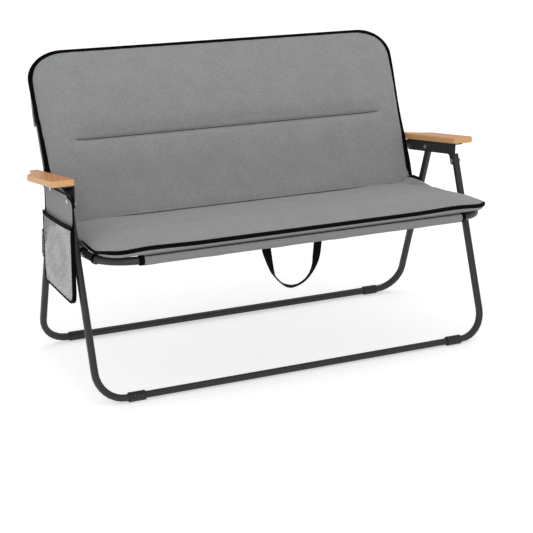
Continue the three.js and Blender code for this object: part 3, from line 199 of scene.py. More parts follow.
class Finish:
    """A material under construction."""

    def __init__(self, name, roughness, metallic=0.0):
        self.material = bpy.data.materials.new(name)
        self.material.use_nodes = True
        self.tree = self.material.node_tree
        self.surface = self.tree.nodes["Principled BSDF"]
        self.surface.inputs["Roughness"].default_value = roughness
        self.surface.inputs["Metallic"].default_value = metallic
        place = self.node("ShaderNodeTexCoord", output="Object")
        scaled = self.node("ShaderNodeVectorMath", {"operation": "SCALE"}, {0: place, "Scale": 1 / MM})
        self.place = scaled
        self.x, self.y, self.z = (
            self.node("ShaderNodeSeparateXYZ", inputs={0: scaled}, output=axis) for axis in "XYZ"
        )

    def node(self, kind, settings=None, inputs=None, output=0):
        made = self.tree.nodes.new(kind)
        for name, value in (settings or {}).items():
            if name == "stops":
                self.set_stops(made.color_ramp, value)
            else:
                setattr(made, name, value)
        for key, value in (inputs or {}).items():
            if isinstance(value, Wire):
                self.tree.links.new(value.socket, made.inputs[key])
            else:
                made.inputs[key].default_value = value
        return Wire(self, made.outputs[output])

    def set_stops(self, ramp, stops):
        while len(ramp.elements) < len(stops):
            ramp.elements.new(0.5)
        for element, (position, colour) in zip(ramp.elements, stops):
            element.position = position
            element.color = (*colour, 1)

    def noise(self, x_size, y_size, z_size, detail=2.0):
        """A noise from 0 to 1 whose grains have these sizes in millimetres."""
        sizes = {0: self.place, 1: (1 / x_size, 1 / y_size, 1 / z_size)}
        squeezed = self.node("ShaderNodeVectorMath", {"operation": "MULTIPLY"}, sizes)
        return self.node("ShaderNodeTexNoise", inputs={"Vector": squeezed, "Scale": 1.0, "Detail": detail})

    def mix(self, share, one, other):
        inputs = {0: share, 6: one, 7: other}
        return self.node("ShaderNodeMix", {"data_type": "RGBA"}, inputs, output=2)

    def set(self, **sockets):
        for name, value in sockets.items():
            socket = self.surface.inputs[name.replace("_", " ").title()]
            if isinstance(value, Wire):
                self.tree.links.new(value.socket, socket)
            else:
                socket.default_value = value

    def bump(self, height, depth, strength=1.0):
        """Raises the surface by height, from 0 to 1, over depth in millimetres."""
        inputs = {"Strength": strength, "Distance": depth * MM, "Height": height}
        self.set(normal=self.node("ShaderNodeBump", inputs=inputs))


def grey(level, warmth=0.0):
    """A colour from a screen level of 0 to 255, a little warm or cool."""
    return tuple(((level + offset) / 255) ** 2.2 for offset in (warmth, 0, -warmth)) + (1,)


print("a middle grey is written", np.round(grey(140), 3))

# %% [markdown]
# ## Woven polyester
#
# The cushions are covered in a melange oxford: light and dark threads are mixed in the yarn, so the colour
# breaks up into short streaks along both threads. Two stretched noises make the streaks, a third one makes
# the soft cloudiness, and a product of sines raises the plain weave. The same recipe at other greys serves
# the sleeves and the rear cover, where the light thread is rarer.

# %% Cloth finishes
def cloth(name, level, contrast, warmth=0.0, thread=1.5, streak=9.0, weave_depth=0.12):
    finish = Finish(name, roughness=0.92)
    slope = finish.y + finish.z
    across = finish.noise(streak, 1.3, 1.3)
    along = finish.noise(1.3, streak, streak)
    cloud = finish.noise(55, 55, 55, detail=3)
    fleck = finish.noise(3.2, 3.2, 3.2, detail=3)
    blend = across * 0.36 + along * 0.3 + fleck * 0.22 + cloud * 0.12
    share = blend.between(0.36, 0.64)
    dark, light = grey(level - contrast, warmth), grey(level + contrast, warmth)
    turn = 2 * math.pi / thread
    weave = (finish.x * turn).sine() * (slope * turn).sine()
    finish.set(base_color=finish.mix(share, dark, light), sheen_weight=0.15, sheen_roughness=0.5)
    finish.bump(weave * 0.5 + share * 0.5, weave_depth)
    return finish.material


cushion_cloth = cloth("cushion_cloth", 143, 15, warmth=-1)
cover_cloth = cloth("cover_cloth", 137, 7, warmth=3, streak=14, weave_depth=0.08)
panel_cloth = cloth("panel_cloth", 138, 4, warmth=-7, streak=20, weave_depth=0.06)
sleeve_cloth = cloth("sleeve_cloth", 134, 9, warmth=0, streak=12)
lining_cloth = cloth("lining_cloth", 152, 5, warmth=-1, streak=12)
pocket_cloth = cloth("pocket_cloth", 140, 9, warmth=-1)
print("cloths:", cushion_cloth.name, cover_cloth.name, panel_cloth.name, sleeve_cloth.name)

# %% [markdown]
# ## Tape, webbing, net and thread
#
# Binding tape and webbing are woven in ribs. Across a tape the ribs are fine, and along it the weft shows as
# a faint ladder. They are nearly black and hardly shine. The net is a light grey knitted polyester, and the
# sewing thread is black on the tapes and grey on the covers.

# %% Tape finishes
DULL = 0.08


def tape(name, level, rib, roughness=0.8):
    finish = Finish(name, roughness=roughness)
    turn = 2 * math.pi / rib
    slope = finish.y - finish.z
    ribs = (finish.x * turn).sine() * 0.5 + (slope * turn).sine() * 0.5
    fuzz = finish.noise(0.9, 0.9, 0.9)
    share = (ribs * 0.35 + fuzz).between(0.3, 0.9)
    finish.set(base_color=finish.mix(share, grey(level * 0.7), grey(level * 1.45)))
    finish.surface.inputs["Specular IOR Level"].default_value = DULL
    finish.bump(share, 0.22)
    return finish.material


black_tape = tape("black_tape", 9, 1.1)
webbing_cloth = tape("webbing_cloth", 12, 2.2)
net_thread = tape("net_thread", 206, 1.0)
black_thread = tape("black_thread", 30, 0.6, roughness=0.6)
grey_thread = tape("grey_thread", 118, 0.6, roughness=0.7)
# The channel's thread is a real seam thread, but drawn much darker than thread: painted shade in the seam of
# the back channel.
dark_thread = tape("dark_thread", 62, 0.6, roughness=0.8)
print("tapes:", black_tape.name, webbing_cloth.name, net_thread.name)

# %% [markdown]
# ## Steel, plastic and wood
#
# The tubes carry a charcoal powder coat, which is satin and very slightly pebbled. The bolt heads are bright
# zinc with a brushed face, and the feet and plugs are moulded plastic with a fine texture. The armrests are
# oiled beech: long grain along the rest, short dark flecks, and a slow change from honey to a redder brown.
# The sides and ends, which don't face upwards, are painted paler than the top as painted light on them, so
# the wood asks for its own normal.

# %% Hard finishes
def powder_coat():
    finish = Finish("powder_coat", roughness=0.46)
    pebble = finish.noise(0.9, 0.9, 0.9, detail=3)
    patch = finish.noise(60, 60, 60)
    finish.set(base_color=finish.mix(patch, grey(38), grey(46)))
    finish.surface.inputs["Specular IOR Level"].default_value = 0.4
    finish.set(roughness=pebble * 0.12 + 0.4, coat_weight=0.1, coat_roughness=0.35)
    finish.bump(pebble, 0.09)
    return finish.material


def grained(name, roughness, metallic, sizes, levels, depth):
    """A finish with one grain, which shades it between two levels, roughens it and raises it."""
    finish = Finish(name, roughness, metallic)
    grain = finish.noise(*sizes, detail=3)
    dark, light = (grey(level) for level in levels)
    finish.set(base_color=finish.mix(grain, dark, light), roughness=grain * 0.2 + (roughness - 0.1))
    finish.bump(grain, depth)
    return finish.material


def oiled_wood():
    finish = Finish("oiled_wood", roughness=0.5)
    bend = finish.noise(60, 160, 60)
    rings = ((finish.x * 0.42 + finish.z * 0.9 + bend * 11).sine() * 0.5 + 0.5).power(1.6)
    fibre = finish.noise(1.6, 46, 1.6, detail=4)
    fleck = finish.noise(1.1, 9, 1.1, detail=2).between(0.58, 0.7)
    tone = rings * 0.2 + fibre * 0.55 + 0.12
    stops = [(0.25, (0.54, 0.20, 0.050)), (0.5, (0.66, 0.27, 0.078)), (0.8, (0.76, 0.36, 0.12))]
    colour = finish.node("ShaderNodeValToRGB", {"stops": stops}, {0: tone})
    # Faces that don't look upwards are mixed towards a paler colour: painted light on the sides and ends.
    facing = finish.node("ShaderNodeTexCoord", output="Normal")
    upward = finish.node("ShaderNodeSeparateXYZ", inputs={0: facing}, output="Z")
    painted_side_light = 1 - upward.between(0.45, 0.92)
    flecked = finish.mix(fleck * 0.2, colour, (0.40, 0.17, 0.06, 1))
    finish.set(base_color=finish.mix(painted_side_light * 0.62, flecked, (0.80, 0.49, 0.22, 1)))
    finish.set(roughness=fibre * 0.2 + 0.36, coat_weight=0.12, coat_roughness=0.3)
    finish.bump(fibre * 0.7 + fleck * 0.3, 0.12)
    return finish.material


coat = powder_coat()
bright_zinc = grained("zinc", 0.3, 1.0, (9, 0.35, 0.35), (188, 222), 0.03)
plastic = grained("moulded_plastic", 0.5, 0.0, (0.7, 0.7, 0.7), (22, 36), 0.08)
wood = oiled_wood()
FINISH_OF = {
    **dict.fromkeys(("leg_frame", "seat_frame", "back_frame", "arm_bracket", "link_plate"), coat),
    "armrest": wood,
    **dict.fromkeys(("bolt", "nut", "arm_screw", "stud"), bright_zinc),
    "cap": plastic,
}
for name, node in frame["nodes"].items():
    fitting = [finish for key, finish in FINISH_OF.items() if key in name]
    if fitting:
        node.data.materials.clear()
        node.data.materials.append(fitting[-1])
print("finishes laid on the hard nodes")

# %% [markdown]
# ## Building pieces
#
# Nearly every sewn piece is a loft: a row of outlines, each a ring of points, joined by quads. One helper
# lays a small section round a point, another joins such rings, and a third lays a single sheet of points and
# gives it the thickness of cloth. Each finished piece is told what it rides on and what it replaces in the
# CAD model.

# %% Building pieces
CLOTH = 1.4
SIDES = ((1, "right"), (-1, "left"))


def unit(vector):
    return vector / np.linalg.norm(vector)


def circle(radius, count):
    return [(radius * math.cos(a), radius * math.sin(a)) for a in np.linspace(0, 2 * math.pi, count + 1)[:-1]]


def turns(first, last, count):
    """Angles from first to last degrees, in radians."""
    return np.linspace(math.radians(first), math.radians(last), count)


def grid(lines, columns, point):
    """Rows of points, one row for each line."""
    return [[point(line, column) for column in columns] for line in lines]


def piece(name, points, faces, material):
    mesh = bpy.data.meshes.new(name)
    mesh.from_pydata([tuple(float(v) for v in p) for p in points], [], faces)
    mesh.materials.append(material)
    mesh.polygons.foreach_set("use_smooth", [True] * len(mesh.polygons))
    mesh.update()
    made = bpy.data.objects.new(name, mesh)
    bpy.context.collection.objects.link(made)
    return made


def quads(rows, columns, closed):
    """Faces between rows of points, with the columns joined end to end if closed."""
    last = columns if closed else columns - 1
    faces = []
    for r in range(rows - 1):
        for c in range(last):
            d = (c + 1) % columns
            faces.append((r * columns + c, r * columns + d, (r + 1) * columns + d, (r + 1) * columns + c))
    return faces


def facing_out(made):
    """Turns a closed mesh's faces outwards."""
    mesh = made.data
    mesh.calc_loop_triangles()
    co = np.array([v.co for v in mesh.vertices])
    tri = np.array([t.vertices for t in mesh.loop_triangles])
    a, b, c = co[tri[:, 0]], co[tri[:, 1]], co[tri[:, 2]]
    if np.einsum("ij,ij->i", a, np.cross(b, c)).sum() < 0:
        mesh.flip_normals()
    return made


def loft(name, rings, material, ends=True):
    """A tube through rings of points; its ends are closed, or else the last ring meets the first."""
    count = len(rings[0])
    faces = quads(len(rings), count, True)
    last = (len(rings) - 1) * count
    if ends:
        faces.append(tuple(range(count))[::-1])
        faces.append(tuple(last + i for i in range(count)))
    else:
        faces += [(last + i, last + (i + 1) % count, (i + 1) % count, i) for i in range(count)]
    points = [p for ring in rings for p in ring]
    return facing_out(piece(name, points, faces, material))


def ring_at(point, out, over, section):
    """A section of (out, over) pairs in millimetres, laid round a point."""
    return [point + (u * out + v * over) * MM for u, v in section]


def sheet_of(name, rows, material, thickness=CLOTH, side=-1.0):
    """A sheet of cloth through rows of points, thickened to one side."""
    columns = len(rows[0])
    points = [p for row in rows for p in row]
    made = piece(name, points, quads(len(rows), columns, False), material)
    solid = made.modifiers.new("thickness", "SOLIDIFY")
    solid.thickness = thickness * MM
    solid.offset = side
    return made


def soften(made):
    """One more subdivision when it is drawn."""
    fine = made.modifiers.new("fine", "SUBSURF")
    fine.levels = fine.render_levels = 1


def settle(made, body, slot, *nodes):
    """The piece rides on its body and stands for CAD nodes; the slot is not used."""
    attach(made, body)
    if nodes:
        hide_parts(*nodes)
    return made


def lay_sheet(name, rows, material, body, rests_on, nodes=(), slot="cover_cloth", held="stretched", **cut):
    """A finished sheet that rides on its body, with the thickness and side given in cut."""
    made = settle(sheet_of(name, rows, material, **cut), body, slot, *nodes)
    return made


def black_band(name, rings, body, *nodes, ends=True):
    return settle(loft(name, rings, black_tape, ends), body, "black_webbing", *nodes)


def rounded_section(left, right, low, high, radius, steps=3):
    """The outline of a flat tape end: a rectangle with rounded corners."""
    points = []
    corners = [(right, high, 0), (left, high, 90), (left, low, 180), (right, low, 270)]
    for x, y, start in corners:
        cx = x - radius if x == right else x + radius
        cy = y - radius if y == high else y + radius
        for i in range(steps + 1):
            angle = math.radians(start + 90 * i / steps)
            points.append((cx + radius * math.cos(angle), cy + radius * math.sin(angle)))
    return points


print("a tape's section has", len(rounded_section(-9, 1, 0, 8, 2)), "points")

# %% [markdown]
# ## Stitches
#
# Sewing shows as a row of small raised dashes. Each one here is a stretched six-sided bead, and a whole
# seam is one mesh, so a long seam costs little.

# %% Stitches
STITCH_LENGTH, STITCH_PITCH, STITCH_WIDTH = 3.6, 5.2, 0.75


def stitches(name, path, outward, material, body, slot):
    """A row of stitches along a path of points, standing out of the cloth in one direction."""
    path = np.array(path)
    steps = np.linalg.norm(np.diff(path, axis=0), axis=1)
    run = np.concatenate([[0], np.cumsum(steps)]) / MM
    points, faces = [], []
    for middle in np.arange(STITCH_PITCH, run[-1] - STITCH_PITCH, STITCH_PITCH):
        i = min(len(steps) - 1, int(np.searchsorted(run, middle)) - 1)
        share = (middle - run[i]) / (run[i + 1] - run[i])
        centre = path[i] * (1 - share) + path[i + 1] * share
        along = (path[i + 1] - path[i]) / steps[i]
        out = unit(outward - along * np.dot(outward, along))
        side = np.cross(along, out)
        first = len(points)
        for reach, thick in ((-0.5, 0.0), (-0.32, 1.0), (0.32, 1.0), (0.5, 0.0)):
            base = centre + along * reach * STITCH_LENGTH * MM
            if thick == 0:
                points.append(base)
                continue
            points += [base + (side * u + out * v * 0.8) * MM for u, v in circle(STITCH_WIDTH / 2, 6)]
        low, one, two, high = first, first + 1, first + 7, first + 13
        for k in range(6):
            n = (k + 1) % 6
            faces.append((low, one + n, one + k))
            faces.append((one + k, one + n, two + n, two + k))
            faces.append((two + k, two + n, high))
    return settle(piece(name, points, faces, material), body, slot)


# %% [markdown]
# ## How a cushion is sewn
#
# A cushion is two sheets that meet in one seam round the edge. The rows of points follow the outline into its
# rounded corners, and lie closer together near the edge, where the cloth turns quickly. The upper sheet is
# first laid a little low. A cloth simulation then blows it up, held at its seams, so the cloth swells
# between them as foam under fabric does. The movement is capped, so the pad stays in its CAD solid.

# %% Cushion helpers
SWELL_FRAMES = 20
SWELL_PRESSURE = 4.0
SWELL_CAP = 5


def closer_at_ends(count, crowd=1.35):
    """Places from -1 to 1 that crowd towards both ends."""
    even = np.linspace(-1, 1, count)
    return np.sign(even) * (1 - (1 - np.abs(even)) ** crowd)


def corner_inset(radius, from_end, wide=None):
    """How far a rounded corner draws in at a distance from its end; wide makes it an ellipse."""
    left = max(0.0, radius - max(0.0, from_end)) / radius
    return (wide or radius) * (1 - math.sqrt(max(0.0, 1 - left * left)))


def sew_cushion(name, heights, half_at, top_at, bottom_at, place, material, columns=131):
    """Joins an upper and a lower sheet at their seam. Returns the piece and its upper points off the seam."""
    shares = closer_at_ends(columns)
    points, upper, lower = [], {}, {}
    rows = len(heights)
    for r, height in enumerate(heights):
        half = half_at(height)
        for c, share in enumerate(shares):
            x = share * half
            edge = r in (0, rows - 1) or c in (0, columns - 1)
            upper[r, c] = len(points)
            points.append(place(x, height, top_at(x, height, half)))
            if edge:
                lower[r, c] = upper[r, c]
            else:
                lower[r, c] = len(points)
                points.append(place(x, height, bottom_at(x, height, half)))
    faces = []
    for r in range(rows - 1):
        for c in range(columns - 1):
            ring = [(r, c), (r, c + 1), (r + 1, c + 1), (r + 1, c)]
            faces.append(tuple(upper[k] for k in ring))
            faces.append(tuple(lower[k] for k in reversed(ring)))
    made = facing_out(piece(name, points, faces, material))
    return made, [upper[r, c] for r in range(1, rows - 1) for c in range(1, columns - 1)]


def swell(made, inner, sewn_down):
    """Blows up the upper cloth of a cushion, apart from its sewn places, and moves none past the cap."""
    loose = {i for i in inner if not sewn_down(made.data.vertices[i].co)}
    group = made.vertex_groups.new(name="held")
    group.add([i for i in range(len(made.data.vertices)) if i not in loose], 1.0, "ADD")
    before = np.array([v.co for v in made.data.vertices])
    cloth_rig = made.modifiers.new("swell", "CLOTH")
    settings = cloth_rig.settings
    settings.use_pressure = True
    settings.uniform_pressure_force = SWELL_PRESSURE
    settings.vertex_group_mass = "held"
    settings.effector_weights.gravity = 0
    settings.quality = 4
    cloth_rig.collision_settings.use_collision = False
    scene = bpy.context.scene
    for number in range(1, SWELL_FRAMES + 1):
        scene.frame_set(number)
    graph = bpy.context.evaluated_depsgraph_get()
    after = np.array([v.co for v in made.evaluated_get(graph).data.vertices])
    made.modifiers.remove(cloth_rig)
    scene.frame_set(1)
    step = after - before
    size = np.linalg.norm(step, axis=1)
    limit = SWELL_CAP * MM
    kept = before + step * (limit * np.tanh(size / limit) / np.maximum(size, 1e-9))[:, None]
    made.data.vertices.foreach_set("co", kept.ravel())
    made.data.update()
    made.vertex_groups.clear()
    print(made.name, "swelled by", round(float(size.max() / MM), 1), "mm before the cap")


def finish_cushion(made, body, node):
    soften(made)
    settle(made, body, "grey_cloth", node)
    print(made.name, "has", len(made.data.polygons), "faces before the last subdivision")


def pull(depth, width, distance):
    """How far cloth is drawn in at a distance from a seam."""
    return depth * math.exp(-((distance / width) ** 2))


print("near an edge the columns are", round(562 * (1 - closer_at_ends(131)[-2]), 1), "mm apart")

# %% [markdown]
# ## The back cushion
#
# The back cushion hangs on the front of the back tubes. It is thickest below the middle, thins out to its
# bound edge, and its top corners are large and slightly oval. One channel is sewn right across at a little
# under half its height, and stops short of both sides. Under the channel the cloth turns sharply, and above
# it the foam swells slowly, which gives the soft shadow over the line.

# %% Back cushion
BACK_PAD_LINE = [
    (16, 13.5), (45, 14), (80, 18), (130, 28), (168, 37), (200, 43), (234, 48), (280, 51),
    (350, 49), (400, 43), (440, 35), (470, 26.5), (491, 16.5),
]
BACK_WIDTH_LINE = [(16, 556), (60, 557.5), (110, 559), (260, 560), (400, 563), (491, 563)]
BACK_PAD_BOTTOM, BACK_PAD_TOP = 16, 490
BACK_PAD_CORNER, BACK_PAD_CORNER_WIDE = 80, 102
BACK_PAD_REAR = 10
BACK_SEAM = 13.5
BACK_EDGE_WIDTH = 64
UNDER_TAPE = 11
BACK_CHANNEL = 234
BACK_CHANNEL_END = 482
BACK_LIFT, BACK_LIFT_X = 17, 529
SWELL_ROOM = 3.5


def back_half(up):
    draw_in = 3 * math.sin(math.pi * smooth((up - 60) / 340))
    inset = corner_inset(BACK_PAD_CORNER, BACK_PAD_TOP - up, BACK_PAD_CORNER_WIDE)
    return read(BACK_WIDTH_LINE, up) - draw_in - inset


def channel_share(x, end, fade=46):
    return smooth((end - abs(x)) / fade)


def back_channel(x, up):
    above = up - BACK_CHANNEL
    width = 26 if above > 0 else 8
    deep = pull(9.5, width, above) + pull(6.0, 4.0, above)
    return deep * channel_share(x, BACK_CHANNEL_END)


def back_lift(x, up):
    """The bottom corners are drawn up, so that the seat tube passes under them."""
    return BACK_LIFT * smooth((abs(x) - BACK_LIFT_X) / 20) * (1 - smooth((up - BACK_PAD_BOTTOM) / 70))


def lifted_on_back(x, up, ahead_of):
    return on_back(x, up + back_lift(x, up), ahead_of)


def back_front(x, up, half):
    line = read(BACK_PAD_LINE, up)
    rim = min(BACK_SEAM, line)
    crown = quarter((half - abs(x) - UNDER_TAPE) / BACK_EDGE_WIDTH)
    top = smooth((BACK_PAD_TOP - up - UNDER_TAPE / 2) / 26) ** 0.5
    room = SWELL_ROOM * crown * top
    return rim + (line - rim) * crown * (0.25 + 0.75 * top) - room


def back_rear(x, up, half):
    inward = min(half - abs(x), BACK_PAD_TOP - up, up - BACK_PAD_BOTTOM)
    return BACK_PAD_REAR + (BACK_SEAM - BACK_PAD_REAR) * (1 - smooth(inward / 12))


def closer_at_seam(places, seam):
    """Adds rows where a sewn channel crosses, so that its narrow fold is really modelled."""
    away = [place for place in places if abs(place - seam) > 11]
    return sorted(away + [seam + step for step in (-10, -6.5, -4, -2.2, -0.8, 0.8, 2.2, 4, 6.5, 10)])


even_up = np.linspace(BACK_PAD_BOTTOM, BACK_PAD_TOP - BACK_PAD_CORNER, 46)[:-1]
middle_up = closer_at_seam(even_up, BACK_CHANNEL)
corner_up = BACK_PAD_TOP - BACK_PAD_CORNER * (1 - np.sin(turns(0, 90, 17)))
back_rows = [*middle_up[:1], middle_up[0] + 2.5, *middle_up[1:], *corner_up]
back_pad, back_inner = sew_cushion(
    "back_cushion_pad", back_rows, back_half, back_front, back_rear, lifted_on_back, cushion_cloth
)


def on_pad(co):
    """A point's place on the back: across, up and ahead, in millimetres."""
    out = np.array(co) - on_back(0, 0, 0)
    return co[0] / MM, np.dot(out, UP_SIDE) / MM, np.dot(out, AHEAD_SIDE) / MM


def near_back_channel(co):
    x, up, ahead_of = on_pad(co)
    return abs(up - BACK_CHANNEL) < 6 and abs(x) < BACK_CHANNEL_END and ahead_of > BACK_SEAM + 6


swell(back_pad, back_inner, near_back_channel)

# %% [markdown]
# The channel is pressed in after the simulation, because a seam this narrow would be lost in it. The cloth
# beside a seam also puckers a little, in waves a few centimetres long that die out away from the thread.

# %% Back channel and puckers
def pucker(run, distance, size=0.45, reach=16):
    wave = math.sin(run / 7.3) + 0.7 * math.sin(run / 4.1 + 1.3) + 0.5 * math.sin(run / 11.7 + 0.4)
    return size * wave * math.exp(-((distance / reach) ** 2))


for index in back_inner:
    vertex = back_pad.data.vertices[index]
    x, up, _ = on_pad(vertex.co)
    from_side = back_half(up) - abs(x)
    drop = back_channel(x, up)
    drop += pucker(x, up - BACK_CHANNEL, 0.3) * channel_share(x, BACK_CHANNEL_END)
    drop += pucker(x + 40, BACK_PAD_TOP - up, 0.4) + pucker(up + 90, from_side, 0.4)
    vertex.co -= Vector(AHEAD_SIDE * MM * drop)
finish_cushion(back_pad, "back", "back_cushion")

# %% Channel thread, drawn dark as painted shade in the seam
THREAD_RADIUS = 0.9


def channel_thread(x):
    """A ring of the dark thread at the bottom of the channel, on the sewn cloth; its darkness is painted
    shade in the seam.
    """
    bottom = back_front(x, BACK_CHANNEL, back_half(BACK_CHANNEL)) - back_channel(x, BACK_CHANNEL)
    middle = on_back(x, BACK_CHANNEL, bottom + THREAD_RADIUS)
    return ring_at(middle, AHEAD_SIDE, UP_SIDE, circle(THREAD_RADIUS, 6))


# A dark thread at the bottom of the channel: partly the real seam thread, partly painted shade in the seam.
thread_x = np.linspace(-BACK_CHANNEL_END + 14, BACK_CHANNEL_END - 14, 160)
thread = loft("back_channel_thread", [channel_thread(x) for x in thread_x], dark_thread)
settle(thread, "back", "grey_cloth")
print("the channel's thread has", len(thread.data.polygons), "faces")

# %% [markdown]
# ## Binding on the back cushion
#
# A folded black tape wraps the edge of the back cushion from its lower left end, over the top, to its lower
# right end. It is a flat tube round the seam, a little narrower along the top than down the sides.

# %% Back binding
BINDING_LOW = 18
BINDING_OUT = 1.8


def bound_edge(x_at, sides, wide, deep, count):
    """Places with outward angles: up the right side of an edge, round its corner, across, and down."""
    right = [(x_at(far), far, 0.0) for far in sides]
    x, far, _ = right[-1]
    for angle in turns(0, 90, 19)[1:]:
        right.append((x - wide * (1 - math.cos(angle)), far + deep * math.sin(angle), angle))
    x, far, angle = right[-1]
    middle = [(each, far, angle) for each in np.linspace(x, -x, count)[1:-1]]
    return right + middle + [(-x, far, math.pi - angle) for x, far, angle in reversed(right)]


def bind_back(name):
    sides = np.linspace(BINDING_LOW, BACK_PAD_TOP - BACK_PAD_CORNER, 40)
    edge = bound_edge(back_half, sides, BACK_PAD_CORNER_WIDE, BACK_PAD_CORNER, 44)
    rings, seam = [], []
    for i, (x, up, angle) in enumerate(edge):
        end = min(i, len(edge) - 1 - i)
        taper = 0.6 + 0.4 * smooth(end / 4)
        out = ACROSS * math.cos(angle) + UP_SIDE * math.sin(angle)
        inward = -13.5 + 6.5 * math.sin(angle) ** 4
        section = rounded_section(inward * taper, BINDING_OUT, -5.0 * taper, 5.0, 1.9)
        rings.append(ring_at(lifted_on_back(x, up, BACK_SEAM), out, AHEAD_SIDE, section))
        seam.append(on_back(x, up, BACK_SEAM + 4.7) - out * 5.2 * MM)
    made = black_band(name, rings, "back")
    stitches(name + "_stitches", seam[6:-6], AHEAD_SIDE, black_thread, "back", "black_webbing")
    return made


back_binding = bind_back("back_cushion_binding")
print("the back binding has", len(back_binding.data.polygons), "faces")

# %% [markdown]
# ## The seat cushion
#
# The seat cushion lies on the sling and over the side tubes. It slopes down to the back, its front corners
# are rounded, and its front edge is a blunt lip about 18 mm deep: a black bound edge on top and a grey
# underside below. A faint channel crosses it under the thighs.

# %% Seat cushion
SEAT_PAD_LINE = [
    (-35, 414.5), (-30, 418.5), (-20, 422.5), (20, 425.5), (60, 424), (100, 420), (150, 413), (200, 405.5),
    (250, 398), (300, 390), (345, 382), (380, 374),
]
SEAT_PAD_FRONT, SEAT_PAD_REAR = -35, 380
SEAT_PAD_CORNER = 62
SEAT_PAD_HALF = 561
SEAT_EDGE_WIDTH = 78
SEAT_EDGE_DROP = 12.5
SEAT_SEAM_FRONT, SEAM_OVER_UNDERSIDE = 410.5, 3.6
SEAT_CHANNEL_Y = 165
SEAT_CHANNEL_END = 500
DIP_Y, DIP_Z = 140.95, 362.0
TUBE_FRONT_Y, TUBE_FRONT_Z = -23, 382.5
TUBE_REAR_Y, TUBE_REAR_Z = 395.57, 375.8
TUBE_RADIUS = 10.5
TUBE_BEND = 100
SIDE_X = 555.5
SLING_FRONT_Z, SLING_REAR_Z = 394.9, 342.0
SLING_FRONT_Y, SLING_REAR_Y = -10, 352
SLEEVE_HALF = 461.7
BARE_X = 478
CORNER_SAG = 4.5


def tube_top(y):
    end_y, end_z = (TUBE_FRONT_Y, TUBE_FRONT_Z) if y < DIP_Y else (TUBE_REAR_Y, TUBE_REAR_Z)
    return DIP_Z + (y - DIP_Y) * (end_z - DIP_Z) / (end_y - DIP_Y) + TUBE_RADIUS


def sling_top(y):
    share = clamp((y - TUBE_FRONT_Y) / (SLING_REAR_Y - TUBE_FRONT_Y))
    return SLING_FRONT_Z + share * (SLING_REAR_Z - SLING_FRONT_Z)


def seat_half(y):
    return SEAT_PAD_HALF - corner_inset(SEAT_PAD_CORNER, y - SEAT_PAD_FRONT)


def corner_sag(x, y):
    """Nothing carries the cushion inside the bend of the tube, so it sinks there against the tube."""
    bend = SIDE_X - SLEEVE_HALF
    across = max(0.0, abs(x) - SLEEVE_HALF)
    along = max(0.0, TUBE_FRONT_Y + bend - y)
    inside = bend - TUBE_RADIUS * 0.4 - math.hypot(across, along)
    near = smooth((abs(x) - SLEEVE_HALF - 6) / 14) * (1 - smooth((y - 96) / 24))
    return CORNER_SAG * smooth(inside / 12) * near


def seat_under(x, y):
    """Height of the underside, on the sling and over the side tubes, which are thinner where bare."""
    bare = smooth((abs(x) - BARE_X) / 12) * (1 - smooth((y - 138) / 12) + smooth((y - 256) / 12))
    over_tube = tube_top(y) + 3.4 - 2.6 * bare
    between = sling_top(y) + 0.8
    beside = smooth((abs(x) - 515 + 11 * smooth((y - 340) / 30)) / 26)
    return between + (max(over_tube, between) - between) * beside - corner_sag(x, y)


def seat_seam(x, y):
    """Height of the seam: it follows the pad's slope, hangs at the sides and rises in the rear crease."""
    side = smooth((abs(x) - 440) / 110)
    front = SEAT_SEAM_FRONT + 3 * smooth((abs(x) - 300) / 150) - 4.5 * side
    slope = read(SEAT_PAD_LINE, y) - SEAT_PAD_LINE[0][1]
    crease = (5.5 + 5 * smooth((abs(x) - 470) / 40)) * smooth((y - 330) / 50)
    drop = (14 - 10 * smooth((y - 120) / 150)) * smooth((y + 8) / 75) * side
    return max(seat_under(x, y) + SEAM_OVER_UNDERSIDE, front + min(0.0, slope) - drop + crease)


def seat_upper(x, y, half):
    line = read(SEAT_PAD_LINE, y)
    from_side = half - abs(x)
    if from_side <= 0.01 or y <= SEAT_PAD_FRONT or y >= SEAT_PAD_REAR:
        return seat_seam(x, y)
    edge = max(0.0, 1 - from_side / SEAT_EDGE_WIDTH)
    crown = line - SEAT_EDGE_DROP * edge * edge
    seam = seat_seam(x, y)
    near = min(1.0, min(from_side, y - SEAT_PAD_FRONT) / 16)
    return seam + max(1.2, crown - SWELL_ROOM * smooth(near) - seam) * quarter(near)


def seat_lower(x, y, half):
    inward = min(half - abs(x), y - SEAT_PAD_FRONT, SEAT_PAD_REAR - y)
    seam = seat_seam(x, y)
    return seam - (seam - seat_under(x, y)) * quarter(inward / 13)


corner_y = SEAT_PAD_FRONT + SEAT_PAD_CORNER * (1 - np.cos(turns(0, 90, 17)))
seat_rows = closer_at_seam(np.linspace(corner_y[-1], SEAT_PAD_REAR - 3, 46)[1:], SEAT_CHANNEL_Y)
seat_rows = [*corner_y, *seat_rows, SEAT_PAD_REAR]
seat_pad, seat_inner = sew_cushion(
    "seat_cushion_pad", seat_rows, seat_half, seat_upper, seat_lower, at, cushion_cloth
)


def near_seat_channel(co):
    y = co[1] / MM - SHIFT_Y
    return abs(y - SEAT_CHANNEL_Y) < 6 and abs(co[0] / MM) < SEAT_CHANNEL_END


swell(seat_pad, seat_inner, near_seat_channel)

